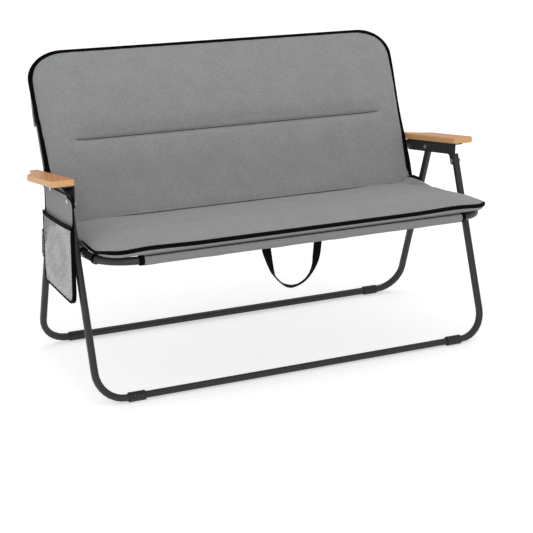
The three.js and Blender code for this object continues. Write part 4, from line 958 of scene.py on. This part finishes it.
# %% Seat channel and puckers
for index in seat_inner:
    vertex = seat_pad.data.vertices[index]
    x, y = vertex.co.x / MM, vertex.co.y / MM - SHIFT_Y
    behind = y - SEAT_CHANNEL_Y
    drop = (pull(1.6, 20, behind) + pull(1.2, 4.5, behind)) * channel_share(x, SEAT_CHANNEL_END)
    drop += pull(1.3, 12, y - 318) * channel_share(x, 470, 80)
    drop += pucker(x, y - SEAT_PAD_FRONT, 0.35) + pucker(y + 60, seat_half(y) - abs(x), 0.3)
    vertex.co.z -= drop * MM
finish_cushion(seat_pad, "seat", "seat_cushion")

# %% [markdown]
# ## Binding on the seat cushion
#
# The tape on the seat covers the front edge and its two rounded corners, and runs on low along the front
# third of the sides. Two short tapes cover the rear corners, where the tape of the back comes down.

# %% Seat binding
SEAT_BINDING_REACH = 128


def bind_seat(name):
    straight = SEAT_PAD_FRONT + SEAT_PAD_CORNER
    sides = np.linspace(straight + SEAT_BINDING_REACH, straight, 14)
    edge = bound_edge(seat_half, sides, SEAT_PAD_CORNER, -SEAT_PAD_CORNER, 60)
    rings, seam = [], []
    for i, (x, y, angle) in enumerate(edge):
        end = min(i, len(edge) - 1 - i)
        taper = 0.25 + 0.75 * smooth(end / 8)
        out = ACROSS * math.cos(angle) + FRONTWARD * math.sin(angle)
        facing = math.sin(angle) ** 2
        rise = 0.8 + 4.2 * facing
        low = (-7.0 + 3.0 * facing) * taper
        corner = 1.0 + taper * (0.4 + 0.6 * facing)
        section = rounded_section(-8.5 * taper, BINDING_OUT, low, rise * taper + 0.3, corner)
        base = at(x, y, seat_seam(x, y))
        rings.append(ring_at(base, out, UPWARD, section))
        seam.append(base + (rise + 0.5) * UPWARD * MM - out * 5 * MM)
    made = black_band(name, rings, "seat")
    stitches(name + "_stitches", seam[8:-8], UPWARD, black_thread, "seat", "black_webbing")
    return made


def crease_tape(name, side):
    """Black tape over the rear corner of the seat cushion, where the tape of the back runs down to it."""
    rings = []
    for share in np.linspace(0, 1, 15):
        y = SEAT_PAD_REAR + 2 - 46 * share
        x = side * (SEAT_PAD_HALF - 5 + 4 * smooth(share * 1.6))
        taper = 1 - 0.75 * smooth((share - 0.45) / 0.55)
        base = at(x, y, seat_seam(abs(x), min(y, SEAT_PAD_REAR)) + 0.5)
        section = rounded_section(-7.5 * taper, 5.5 * taper, -5.0, 2.0 + 3.2 * taper, 1.6 * taper)
        rings.append(ring_at(base, side * ACROSS, UPWARD, section))
    black_band(name, rings, "seat")


seat_binding = bind_seat("seat_cushion_binding")
for side, word in SIDES:
    crease_tape("seat_crease_tape_" + word, side)
print("the seat binding has", len(seat_binding.data.polygons), "faces")

# %% [markdown]
# ## The sling
#
# The sling is one sheet under the cushion. Its front wraps the seat tube as a sleeve, and two short sleeves
# hold its sides to the side tubes, clear of the bent corners and of the bolts. A sleeve is cloth pulled over
# a tube, so it shows slight slack in slanting waves.

# %% Sling
SLEEVE_RADIUS = 12.0
SLING_SAG = 1.32


def seat_tube_route(x):
    """Middle of the seat tube's front at a place across: straight, then round the corner."""
    over = abs(x) - (SIDE_X - TUBE_BEND)
    y = TUBE_FRONT_Y + (0 if over <= 0 else corner_inset(TUBE_BEND, TUBE_BEND - over))
    lead = (y - TUBE_FRONT_Y) / (DIP_Y - TUBE_FRONT_Y)
    return at(x, y, TUBE_FRONT_Z + lead * (DIP_Z - TUBE_FRONT_Z))


def slack(run, angle, size=0.45):
    return size * (math.sin(run / 31 + 2.1 * math.sin(angle)) + 0.6 * math.sin(run / 13.7 - angle + 0.8))


def front_sleeve_point(x, angle):
    radius = SLEEVE_RADIUS + max(0.0, slack(x, angle)) * max(0.0, -math.sin(angle) * 0.7 + 0.5)
    return seat_tube_route(x) + (FRONTWARD * math.cos(angle) + UPWARD * math.sin(angle)) * radius * MM


def sling_point(y, share):
    straight, inside = SIDE_X - TUBE_BEND, SIDE_X - TUBE_RADIUS - 1.2
    half = straight + (inside - straight) * smooth((y - 60) / 38)
    along = smooth((y - SLING_FRONT_Y) / (SLING_REAR_Y - SLING_FRONT_Y))
    sag = SLING_SAG * (1 - share * share) * math.sin(math.pi * along)
    return at(share * half, y, sling_top(y) - 1.2 - sag)


rows = grid(np.linspace(-SLEEVE_HALF, SLEEVE_HALF, 150), turns(78, 415, 34), front_sleeve_point)
lay_sheet("seat_front_sleeve", rows, sleeve_cloth, "seat", ["seat_frame"], ["seat_sling"])
rows = grid(np.linspace(SLING_FRONT_Y, SLING_REAR_Y, 64), np.linspace(-1, 1, 61), sling_point)
lay_sheet("seat_sling_sheet", rows, lining_cloth, "seat", ["seat_front_sleeve", "seat_frame"])

# %% Side sleeves
SIDE_SLEEVE_FRONT, SIDE_SLEEVE_REAR = 158, 250


def side_sleeve(name, side):
    def point(y, angle):
        radius = SLEEVE_RADIUS + max(0.0, slack(y + 40, angle, 0.3))
        x = SIDE_X + math.cos(angle) * radius
        return at(side * x, y, tube_top(y) - TUBE_RADIUS + math.sin(angle) * radius)

    rows = grid(np.linspace(SIDE_SLEEVE_FRONT, SIDE_SLEEVE_REAR, 26), turns(-160, 188, 30), point)
    lay_sheet(name, rows, sleeve_cloth, "seat", ["seat_frame"], side=-side)


for side, word in SIDES:
    side_sleeve("seat_side_sleeve_" + word, side)

# %% [markdown]
# Black tape binds each cut end of the sleeves. A band is a short ring a little proud of the cloth, with
# softly rounded edges.

# %% Sleeve bands
BAND_RADIUS, BAND_LENGTH = 10.7, 10
BAND_STARTS = {"corner": 58, "front": 154, "rear": 243}


def ring_band(name, centres, thick, *nodes):
    """A short round band along centres on the seat's tube, slightly domed."""
    centres = np.array(centres)
    run = np.linspace(-1, 1, len(centres))
    lines = np.gradient(centres, axis=0)
    order = list(range(len(centres)))
    rings = []
    for i, domed in [(i, True) for i in order] + [(i, False) for i in reversed(order)]:
        along = unit(lines[i])
        side = unit(np.cross(along, UPWARD))
        dome = thick * (1 - 0.6 * run[i] ** 6) if domed else 0
        rings.append(ring_at(centres[i], side, np.cross(side, along), circle(BAND_RADIUS + dome, 32)))
    black_band(name, rings, "seat", *nodes, ends=False)


for side, word in SIDES:
    band = [seat_tube_route(side * x) for x in np.linspace(SLEEVE_HALF - 1, SLEEVE_HALF + 12.5, 9)]
    ring_band("seat_sleeve_band_" + word + "_tape", band, 2.7, "seat_sleeve_band_" + word)
    for place, start in BAND_STARTS.items():
        ys = np.linspace(start, start + BAND_LENGTH, 7)
        line = [at(side * SIDE_X, y, tube_top(y) - TUBE_RADIUS) for y in ys]
        ring_band("seat_side_band_" + place + "_" + word, line, 2.6)
print("eight black bands on the seat's tube")

# %% [markdown]
# ## The rear cover
#
# Behind the tubes the back is closed by a cover sewn from several cloths: a warm grey band over the top two
# fifths, which flares a little past the cushion at its lower end, a cooler centre panel, and warm grey side
# sleeves that wrap the tubes. Cut-outs leave the arm bolts free, and their edges are bound in black. A wider
# sleeve at the bottom wraps the cross rail.

# %% Rear cover
COVER_REAR = -11.0
COVER_HALF = 559.5
COVER_TOP = 489
COVER_CORNER, COVER_CORNER_WIDE = 76, 98
COVER_FRONT_EDGE = 8.8
BAND_LOW = 291
COVER_FLARE = 5.0
RAIL_UP, RAIL_HALF = -33, 510
PANEL_HALF, PANEL_BEHIND = 486, -8.6
SLEEVE_ENDS = {"top": 167, "middle": 107, "low": 47.5}
FLAT_SHARE = 0.97


def cover_half(up):
    flare = COVER_FLARE * smooth((400 - up) / 100) if up >= BAND_LOW else 0.0
    return COVER_HALF + flare - corner_inset(COVER_CORNER, COVER_TOP - up, COVER_CORNER_WIDE)


def cover_depth(inward, layer=0.0):
    """Ahead of the tubes by distance inward from the outline: round the tube, then flat behind."""
    return COVER_REAR + layer + 11.5 * (1 - quarter(inward / 12))


def wrap(share, half, up, layer, ripple=0.0):
    """A point of the cover: share runs from the left front edge, round the back, to the right one."""
    side = math.copysign(1, share)
    inner = abs(share)
    if inner > FLAT_SHARE:
        rear = cover_depth(0, layer)
        forward = (COVER_FRONT_EDGE - rear) * (inner - FLAT_SHARE) / (1 - FLAT_SHARE)
        return on_back(side * half, up, rear + forward)
    x = half * inner / FLAT_SHARE
    inward = min(half - x, COVER_TOP - up)
    return on_back(side * x, up, cover_depth(inward, layer) + ripple)


def cover_sheet(name, ups, shares, material, layer=0.0, top_wall=False):
    def point(up, share):
        wave = 0.5 * math.sin(up / 19 + 3 * share) * math.sin(3.1 * share + 0.7)
        return wrap(share, cover_half(up), up, layer, wave * (1 - abs(share)) ** 0.5)

    rows = grid(ups, shares, point)
    if top_wall:
        last = rows[-1]
        for step in (0.3, 0.65, 1.0):
            rise = AHEAD_SIDE * MM * (COVER_FRONT_EDGE - cover_depth(0, layer)) * step
            rows.append([p + rise * (abs(s) <= FLAT_SHARE) for p, s in zip(last, shares)])
    return lay_sheet(name, rows, material, "back", ["back_frame"])


all_shares = [-1.0, -0.99, -0.98, *closer_at_ends(91, 1.5) * FLAT_SHARE, 0.98, 0.99, 1.0]
corner_ups = COVER_TOP - COVER_CORNER * (1 - np.sin(turns(0, 90, 18)))
band_ups = [*np.linspace(BAND_LOW, COVER_TOP - COVER_CORNER, 16)[:-1], *corner_ups]
cover_band = cover_sheet("back_cover_band", band_ups, all_shares, cover_cloth, -0.6, top_wall=True)
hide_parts("back_cover")

side_shares = [s for s in all_shares if s > 0.82]
for side, word in SIDES:
    shares = side_shares if side > 0 else [-s for s in reversed(side_shares)]
    upper = np.linspace(SLEEVE_ENDS["top"], BAND_LOW + 6, 16)
    lower = np.linspace(SLEEVE_ENDS["low"], SLEEVE_ENDS["middle"], 9)
    cover_sheet("back_cover_side_upper_" + word, upper, shares, cover_cloth, 0.3)
    cover_sheet("back_cover_side_lower_" + word, lower, shares, cover_cloth, 0.3)

# %% Centre panel and rail sleeve
def panel_point(up, share):
    half = PANEL_HALF + 20 * smooth((47 - up) / 40)
    dish = 1.8 * (1 - share * share) * math.sin(math.pi * smooth((up + 29) / 330))
    return on_back(share * half, up, PANEL_BEHIND + dish)


def rail_point(x, angle):
    radius = 10.6 + max(0.0, slack(x + 70, angle, 0.5)) * 0.8
    return on_back(x, RAIL_UP + math.sin(angle) * radius, -math.cos(angle) * radius)


def flap_point(up, x):
    return on_back(x, up, -10.2 - 0.25 * math.sin(x / 37))


panel_ups = np.linspace(RAIL_UP + 4, BAND_LOW + 8, 44)
flap_ups = np.linspace(RAIL_UP + 2, RAIL_UP + 27, 7)
rows = grid(panel_ups, closer_at_ends(71, 1.3), panel_point)
lay_sheet("back_cover_panel", rows, panel_cloth, "back", ["back_cover_rail_sleeve"], thickness=1.2)
rows = grid(np.linspace(-RAIL_HALF, RAIL_HALF, 96), turns(100, 430, 30), rail_point)
lay_sheet("back_cover_rail_sleeve", rows, cover_cloth, "back", ["back_frame"])
rows = grid(flap_ups, np.linspace(1 - RAIL_HALF, RAIL_HALF - 1, 80), flap_point)
lay_sheet("back_cover_rail_flap", rows, cover_cloth, "back", ["back_cover_rail_sleeve"])

# %% [markdown]
# Black tape binds the cut edges of the cover: straight across at the cut-outs, slanting at the bottom
# corners, and along the bottom flap's upper seam. The tapes follow the same wrap as the sleeves.

# %% Cover bindings
def cover_tape(name, path, width=8.0):
    """A flat tape along a path of (share, up) pairs on the rear cover."""
    places = np.array([wrap(share, cover_half(up), up, -0.9) for share, up in path])
    section = rounded_section(-width / 2, width / 2, -0.6, 1.2, 0.55, 2)
    rings = []
    for place, line in zip(places, np.gradient(places, axis=0)):
        along = unit(line)
        rear = -AHEAD_SIDE if abs(along[0]) > 0.3 else ACROSS * np.sign(place[0])
        wide = unit(np.cross(along, rear))
        rings.append(ring_at(place, wide, np.cross(wide, along), section))
    black_band(name, rings, "back")


for side, word in SIDES:
    outward = [side * s for s in np.linspace(0.835, 1.0, 26)]
    for label, up in SLEEVE_ENDS.items():
        cover_tape("back_cover_tape_" + label + "_" + word, [(s, up) for s in outward])
    slant = [(side * (0.995 - 0.115 * t), 46 - 32 * t ** 0.7) for t in np.linspace(0, 1, 16)]
    cover_tape("back_cover_tape_corner_" + word, slant, width=6.5)

hem_line = [on_back(x, RAIL_UP + 25, -11.6) for x in np.linspace(-506, 506, 120)]
stitches("back_cover_hem_stitches", hem_line, -AHEAD_SIDE, grey_thread, "back", "cover_cloth")
band_line = [on_back(x, BAND_LOW + 5, -12.9) for x in np.linspace(-545, 545, 130)]
stitches("back_cover_band_stitches", band_line, -AHEAD_SIDE, grey_thread, "back", "cover_cloth")
print("the rear cover is bound")

# %% [markdown]
# ## The side pocket
#
# The pocket hangs from two studs on the left bracket: a grey panel with a net on its outer face, bound round
# the edge with black tape, and a wider tape along the mouth of the net. The net is knitted in diamonds.
# Its threads are built one by one as thin ribbons in two layers, so daylight really passes between them.

# %% Pocket outline
POCKET_PANEL_X, POCKET_NET_X = -597.0, -604.6
POCKET_TOP, POCKET_TOP_REAR, POCKET_BOTTOM = 520, 506, 241
POCKET_FRONT, POCKET_REAR = 100, 334
MOUTH_FRONT, MOUTH_REAR = 447, 431
POCKET_CORNER, POCKET_TOP_CORNER = 34, 24
NET_BULGE = 1.2


def curve_between(start, control, end, steps=12):
    """A quadratic curve through two ends, drawn towards a control point."""
    return [tuple((1 - t) ** 2 * s + 2 * t * (1 - t) * c + t * t * e for s, c, e in zip(start, control, end))
            for t in np.linspace(0, 1, steps)]


def pocket_side_line(inset):
    """The bound edge: from the front of the top, down the front, along the bottom and up the rear."""
    front, rear = POCKET_FRONT + inset, POCKET_REAR - inset
    low, top = POCKET_BOTTOM + inset, POCKET_TOP - inset
    corner, top_corner = POCKET_CORNER - inset, POCKET_TOP_CORNER - inset
    line = curve_between((front + 2 * top_corner, top), (front, top), (front, top - top_corner))
    line += [(front, z) for z in np.linspace(top - top_corner, low + corner, 26)[1:-1]]
    line += curve_between((front, low + corner), (front, low), (front + corner, low))
    line += [(y, low) for y in np.linspace(front + corner, rear - corner / 2, 16)[1:-1]]
    line += curve_between((rear - corner / 2, low), (rear, low), (rear, low + 2 * corner))
    return line + [(rear, z) for z in np.linspace(low + 2 * corner, POCKET_TOP_REAR - inset, 24)[1:]]


def mouth_height(y, inset=0.0):
    share = (y - POCKET_FRONT) / (POCKET_REAR - POCKET_FRONT)
    middle = (MOUTH_FRONT + MOUTH_REAR) / 2 - 7
    return (1 - share) ** 2 * MOUTH_FRONT + 2 * share * (1 - share) * middle + share ** 2 * MOUTH_REAR - inset


def net_bulge(y, z):
    share_y = clamp((y - POCKET_FRONT) / (POCKET_REAR - POCKET_FRONT))
    share_z = clamp((z - POCKET_BOTTOM) / (MOUTH_FRONT - POCKET_BOTTOM))
    return NET_BULGE * math.sin(math.pi * share_y) * math.sin(math.pi * share_z)


def crossings(line, z):
    """Where a closed line crosses a height, from front to rear."""
    found = []
    for (y0, z0), (y1, z1) in zip(line, line[1:] + line[:1]):
        if (z0 > z) != (z1 > z):
            found.append(y0 + (z - z0) * (y1 - y0) / (z1 - z0))
    return sorted(found)


def inside_line(line, y, z):
    return sum(y < place for place in crossings(line, z)) % 2 == 1


# %% Pocket panel and net
panel_line = pocket_side_line(2.5)
panel_rows = []
for z in np.linspace(POCKET_TOP - 2.7, POCKET_BOTTOM + 2.7, 44):
    low_y, *_, high_y = crossings(panel_line, z)
    panel_rows.append([at(POCKET_PANEL_X - 0.5 + 0.5 * math.sin(z / 23 + y / 41), y, z)
                       for y in np.linspace(low_y, high_y, 26)])
studs = ["pocket_stud_front", "pocket_stud_rear"]
lay_sheet("pocket_back_panel", panel_rows, pocket_cloth, "arms", studs, ["pocket_panel"],
          slot="grey_cloth", held="hung", thickness=1.2, side=0)

NET_PITCH_Y, NET_PITCH_Z = 7.8, 6.2
NET_THREAD, NET_THREAD_THICK = 1.9, 0.4


def net_threads(name):
    line = pocket_side_line(4)
    points, faces = [], []
    slope = NET_PITCH_Z / NET_PITCH_Y
    normal = np.array([slope, 1.0]) / math.hypot(slope, 1)
    for lean, layer in ((1, 0.0), (-1, 0.45)):
        for start in np.arange(-120, 520, NET_PITCH_Z):
            run = []
            for y in np.arange(POCKET_FRONT, POCKET_REAR + 1, 6.0):
                z = start + lean * slope * (y - POCKET_FRONT)
                if inside_line(line, y, z) and z < mouth_height(y, 4):
                    run.append((y, z))
            if len(run) < 2:
                continue
            first = len(points)
            for y, z in run:
                x = POCKET_NET_X - layer - net_bulge(y, z)
                for u, v in ((-1, 0), (1, 0), (1, 1), (-1, 1)):
                    off_y, off_z = normal * u * NET_THREAD / 2 * np.array([-lean, 1])
                    points.append(at(x - v * NET_THREAD_THICK, y + off_y, z + off_z))
            count = len(run)
            faces += [tuple(first + i for i in f) for f in quads(count, 4, True)]
            faces.append(tuple(first + i for i in (3, 2, 1, 0)))
            faces.append(tuple(first + (count - 1) * 4 + i for i in (0, 1, 2, 3)))
    made = piece(name, points, faces, net_thread)
    made.data.polygons.foreach_set("use_smooth", [False] * len(made.data.polygons))
    return settle(made, "arms", "net_cloth", "pocket_mesh")


pocket_net = net_threads("pocket_net")
print("the net has", len(pocket_net.data.polygons), "thread faces")

# %% [markdown]
# The binding is one tape. Above the mouth it wraps only the panel, and below it wraps panel and net
# together, so it is deeper there. The mouth tape droops a little and ends under the binding.

# %% Pocket bindings
side_line = pocket_side_line(3.4)
rings = []
for i, (y, z) in enumerate(side_line):
    before, after = side_line[max(0, i - 1)], side_line[min(len(side_line) - 1, i + 1)]
    out = np.cross(unit(np.array([0, after[0] - before[0], after[1] - before[1]])), ACROSS)
    deep = smooth((mouth_height(y) + 12 - z) / 26)
    outer_x = POCKET_PANEL_X - 1.9 - 7.0 * deep
    section = rounded_section(-3.7, 3.6, outer_x, POCKET_PANEL_X + 1.4, 1.4)
    rings.append([at(v, y + u * out[1], z + u * out[2]) for u, v in section])
black_band("pocket_edge_tape", rings, "arms", "pocket_binding")

rings = []
for y in np.linspace(POCKET_FRONT + 1.5, POCKET_REAR - 1.5, 44):
    section = rounded_section(-7.0, 5.5, -1.1, 1.3, 0.8, 2)
    rings.append([at(POCKET_NET_X - net_bulge(y, mouth_height(y)) - 0.5 - v, y, mouth_height(y) + u)
                  for u, v in section])
black_band("pocket_mouth_tape", rings, "arms")
print("the pocket is bound")

# %% [markdown]
# ## Webbing handles
#
# A carrying handle of flat webbing hangs under the seat and another lies on the rear cover. Each turns about
# its own length as it goes: it faces forward where it is sewn on and lies on edge in the bend. The webbing
# is drawn through a table of places and turns, with a slightly thinner edge as real webbing has.

# %% Webbing
WEBBING_HALF = 12.5
SEAT_HANDLE_Y = 70
SEAT_HANDLE = [
    (-80, 376.5, 0), (-80, 336, 30), (-73, 305, 60), (-65, 278, 80), (-59, 262, 90), (-47, 247, 90),
    (-35, 235, 85), (-14, 223, 60), (0, 220, 50), (15, 222, 50), (36, 232, 45), (53, 250, 40),
    (65, 274, 25), (70, 300, 5), (73, 336, 0), (73, 376.5, 0),
]
BACK_HANDLE_UP = 291
BACK_HANDLE = [
    (-119, 12, 0), (-111, -12, 0), (-99, -28, 0), (-77, -53, 15), (-54, -78, 45), (-27, -90, 55),
    (0, -93, 55), (32, -88, 60), (62, -74, 65), (92, -44, 55), (108, -18, 25), (119, 12, 0),
]


def curve_through(points, steps):
    """A smooth curve through points, with a number of steps to each stretch."""
    points = [np.array(p, float) for p in points]
    points = [2 * points[0] - points[1], *points, 2 * points[-1] - points[-2]]
    result = []
    for a, b, c, d in zip(points, points[1:], points[2:], points[3:]):
        for t in np.arange(steps) / steps:
            bend = (2 * a - 5 * b + 4 * c - d) * t * t + (3 * b - 3 * c + d - a) * t ** 3
            result.append(0.5 * (2 * b + (c - a) * t + bend))
    return np.array([*result, points[-2]])


def turned(vector, axis, degrees):
    return np.array(Matrix.Rotation(math.radians(degrees), 3, Vector(axis)) @ Vector(vector))


def webbing(name, table, place, outwards, body, node):
    steps = 6
    line = curve_through([place(x, up) for x, up, _ in table], steps)
    angles = np.interp(np.arange(len(line)) / steps, range(len(table)), [row[2] for row in table])
    edge = [(1, 0.45), (0.86, 0.95), (0.45, 0.95), (0, 0.95), (-0.45, 0.95), (-0.86, 0.95), (-1, 0.45)]
    section = [(u * WEBBING_HALF, v) for u, v in edge]
    section += [(u, -v) for u, v in reversed(section)]
    rings = []
    for point, tangent, angle in zip(line, np.gradient(line, axis=0), angles):
        along = unit(tangent)
        wide = turned(unit(np.cross(along, outwards)), along, angle)
        rings.append(ring_at(point, wide, np.cross(along, wide), section))
    made = loft(name, rings, webbing_cloth)
    soften(made)
    return settle(made, body, "black_webbing", node)


def back_handle_place(x, up):
    bulge = (BACK_HANDLE[0][1] - up) / 14
    return on_back(x, BACK_HANDLE_UP + up, -13.5 - 14 * (1 - math.exp(-bulge)))


def seat_handle_place(x, z):
    return at(x, SEAT_HANDLE_Y, z)


webbing("seat_carry_handle", SEAT_HANDLE, seat_handle_place, FRONTWARD, "seat", "seat_handle")
webbing("back_carry_handle", BACK_HANDLE, back_handle_place, -AHEAD_SIDE, "back", "back_handle")
print("two handles are hung")

# %% [markdown]
# ## Feet
#
# Four ribbed plastic feet are clipped round the floor rails. They are turned profiles with four ribs, and
# the floor cuts a flat under each. A lathe with many sides gives them rounder ribs than the CAD solids.

# %% Feet
FOOT_X, FOOT_Z = 477, 12
FOOT_Y = {"front": 2, "rear": 478.5}
FOOT_PROFILE = [(-22.5, 11.2), (-22.5, 12.2), (-21.8, 12.9)]
for rib in range(4):
    middle = -16.5 + rib * 11
    FOOT_PROFILE += [(middle - 4.2, 13.0), (middle + 3.8, 13.0), (middle + 4.6, 12.1), (middle + 6.0, 12.1)]
FOOT_PROFILE = FOOT_PROFILE[:-1] + [(21.8, 12.9), (22.5, 12.2), (22.5, 11.2)]


def foot(name, x, y, body):
    rings = []
    for along, radius in FOOT_PROFILE:
        rings.append([at(x + along, y + u, max(0.0, FOOT_Z + v)) for u, v in circle(radius, 48)])
    settle(loft(name + "_ribbed", rings, plastic, ends=False), body, "black_plastic", name)


for side, word in SIDES:
    for end, y in FOOT_Y.items():
        foot("foot_" + end + "_" + word, side * FOOT_X, y, end + "_legs")
print("four feet are clipped on")

# %% [markdown]
# ## Floor, background and light
#
# The loveseat stands on a plain white studio floor. The floor shows the soft shadow, and only for the camera
# and for reflections it is lifted to pure white. Two large soft lamps and an even sky light the object at
# about the level at which a grey renders as it is written.

# %% Studio
FLOOR_HALF = 30
FLOOR_GLOW = 0.42
SKY_LEVEL = 0.74


def studio_floor():
    corners = [(x * FLOOR_HALF, y * FLOOR_HALF, 0) for x, y in ((-1, -1), (1, -1), (1, 1), (-1, 1))]
    finish = Finish("studio_floor", roughness=0.9)
    finish.set(base_color=(0.86, 0.86, 0.87, 1))
    ray = finish.node("ShaderNodeLightPath", output="Is Camera Ray")
    glossy = finish.node("ShaderNodeLightPath", output="Is Glossy Ray")
    through = finish.node("ShaderNodeLightPath", output="Is Transmission Ray")
    rays = ray + glossy + through
    seen = rays.maths("MINIMUM", rays, 1.0)
    glow = finish.node("ShaderNodeEmission", inputs={0: (1, 1, 1, 1), 1: seen * FLOOR_GLOW})
    body = Wire(finish, finish.surface.outputs[0])
    both = finish.node("ShaderNodeAddShader", inputs={0: body, 1: glow})
    output = next(n for n in finish.tree.nodes if n.type == "OUTPUT_MATERIAL")
    finish.tree.links.new(both.socket, output.inputs["Surface"])
    made = piece("studio_floor", corners, [(0, 1, 2, 3)], finish.material)
    made.location.z = -0.0005


def studio_sky(level):
    world = bpy.data.worlds.new("studio")
    bpy.context.scene.world = world
    world.use_nodes = True
    tree = world.node_tree
    sky = tree.nodes["Background"]
    sky.inputs[0].default_value = (1, 1, 1, 1)
    path = tree.nodes.new("ShaderNodeLightPath")
    seen = tree.nodes.new("ShaderNodeMath")
    seen.operation = "MAXIMUM"
    tree.links.new(path.outputs["Is Camera Ray"], seen.inputs[0])
    tree.links.new(path.outputs["Is Transmission Ray"], seen.inputs[1])
    strength = tree.nodes.new("ShaderNodeMapRange")
    tree.links.new(seen.outputs[0], strength.inputs[0])
    strength.inputs[3].default_value = level
    strength.inputs[4].default_value = 1.0
    tree.links.new(strength.outputs[0], sky.inputs[1])


def soft_lamp(name, place, aim, size, power):
    data = bpy.data.lights.new(name, "AREA")
    data.shape = "RECTANGLE"
    data.size, data.size_y = size
    data.energy = power
    lamp = bpy.data.objects.new(name, data)
    bpy.context.collection.objects.link(lamp)
    lamp.location = place
    lamp.rotation_euler = (Vector(aim) - Vector(place)).to_track_quat("-Z", "Y").to_euler()


studio_floor()
studio_sky(SKY_LEVEL)
soft_lamp("key_lamp", (-2.4, -5.6, 3.2), (0, 0, 0.4), (3.6, 3.0), 84)
soft_lamp("top_lamp", (0.6, 0.4, 5.2), (0, 0, 0.3), (4.4, 4.4), 24)
bpy.context.scene.view_settings.view_transform = "Standard"
print("the studio is lit")

# %% [markdown]
# ## Folding
#
# When the loveseat folds, seat and back close on each other and squeeze the foam between them. Each cushion
# piece, with its tape, stitches and thread, gets a mesh of its own here, and the direction in which it would
# give
# is looked up: the seat towards the top of its tube, the back towards its rear face.

# %% Cushion pieces with meshes of their own
SQUEEZED = {
    "seat_": ((0, 0, 1.0), at(0, 0, 388)),
    "back_": (tuple(unit(AHEAD_SIDE)), on_back(0, 0, BACK_PAD_REAR)),
}
soft_parts = ("cushion_", "crease_tape", "channel_thread")
for made in sorted(bpy.data.objects, key=lambda one: one.name):
    if made.type == "MESH" and any(part in made.name for part in soft_parts):
        axis, anchor = SQUEEZED[made.name[:5]]
        tuple(float(v) for v in anchor)
        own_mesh(made)
        tuple(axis)
        print(made.name, "gives when the frame folds")
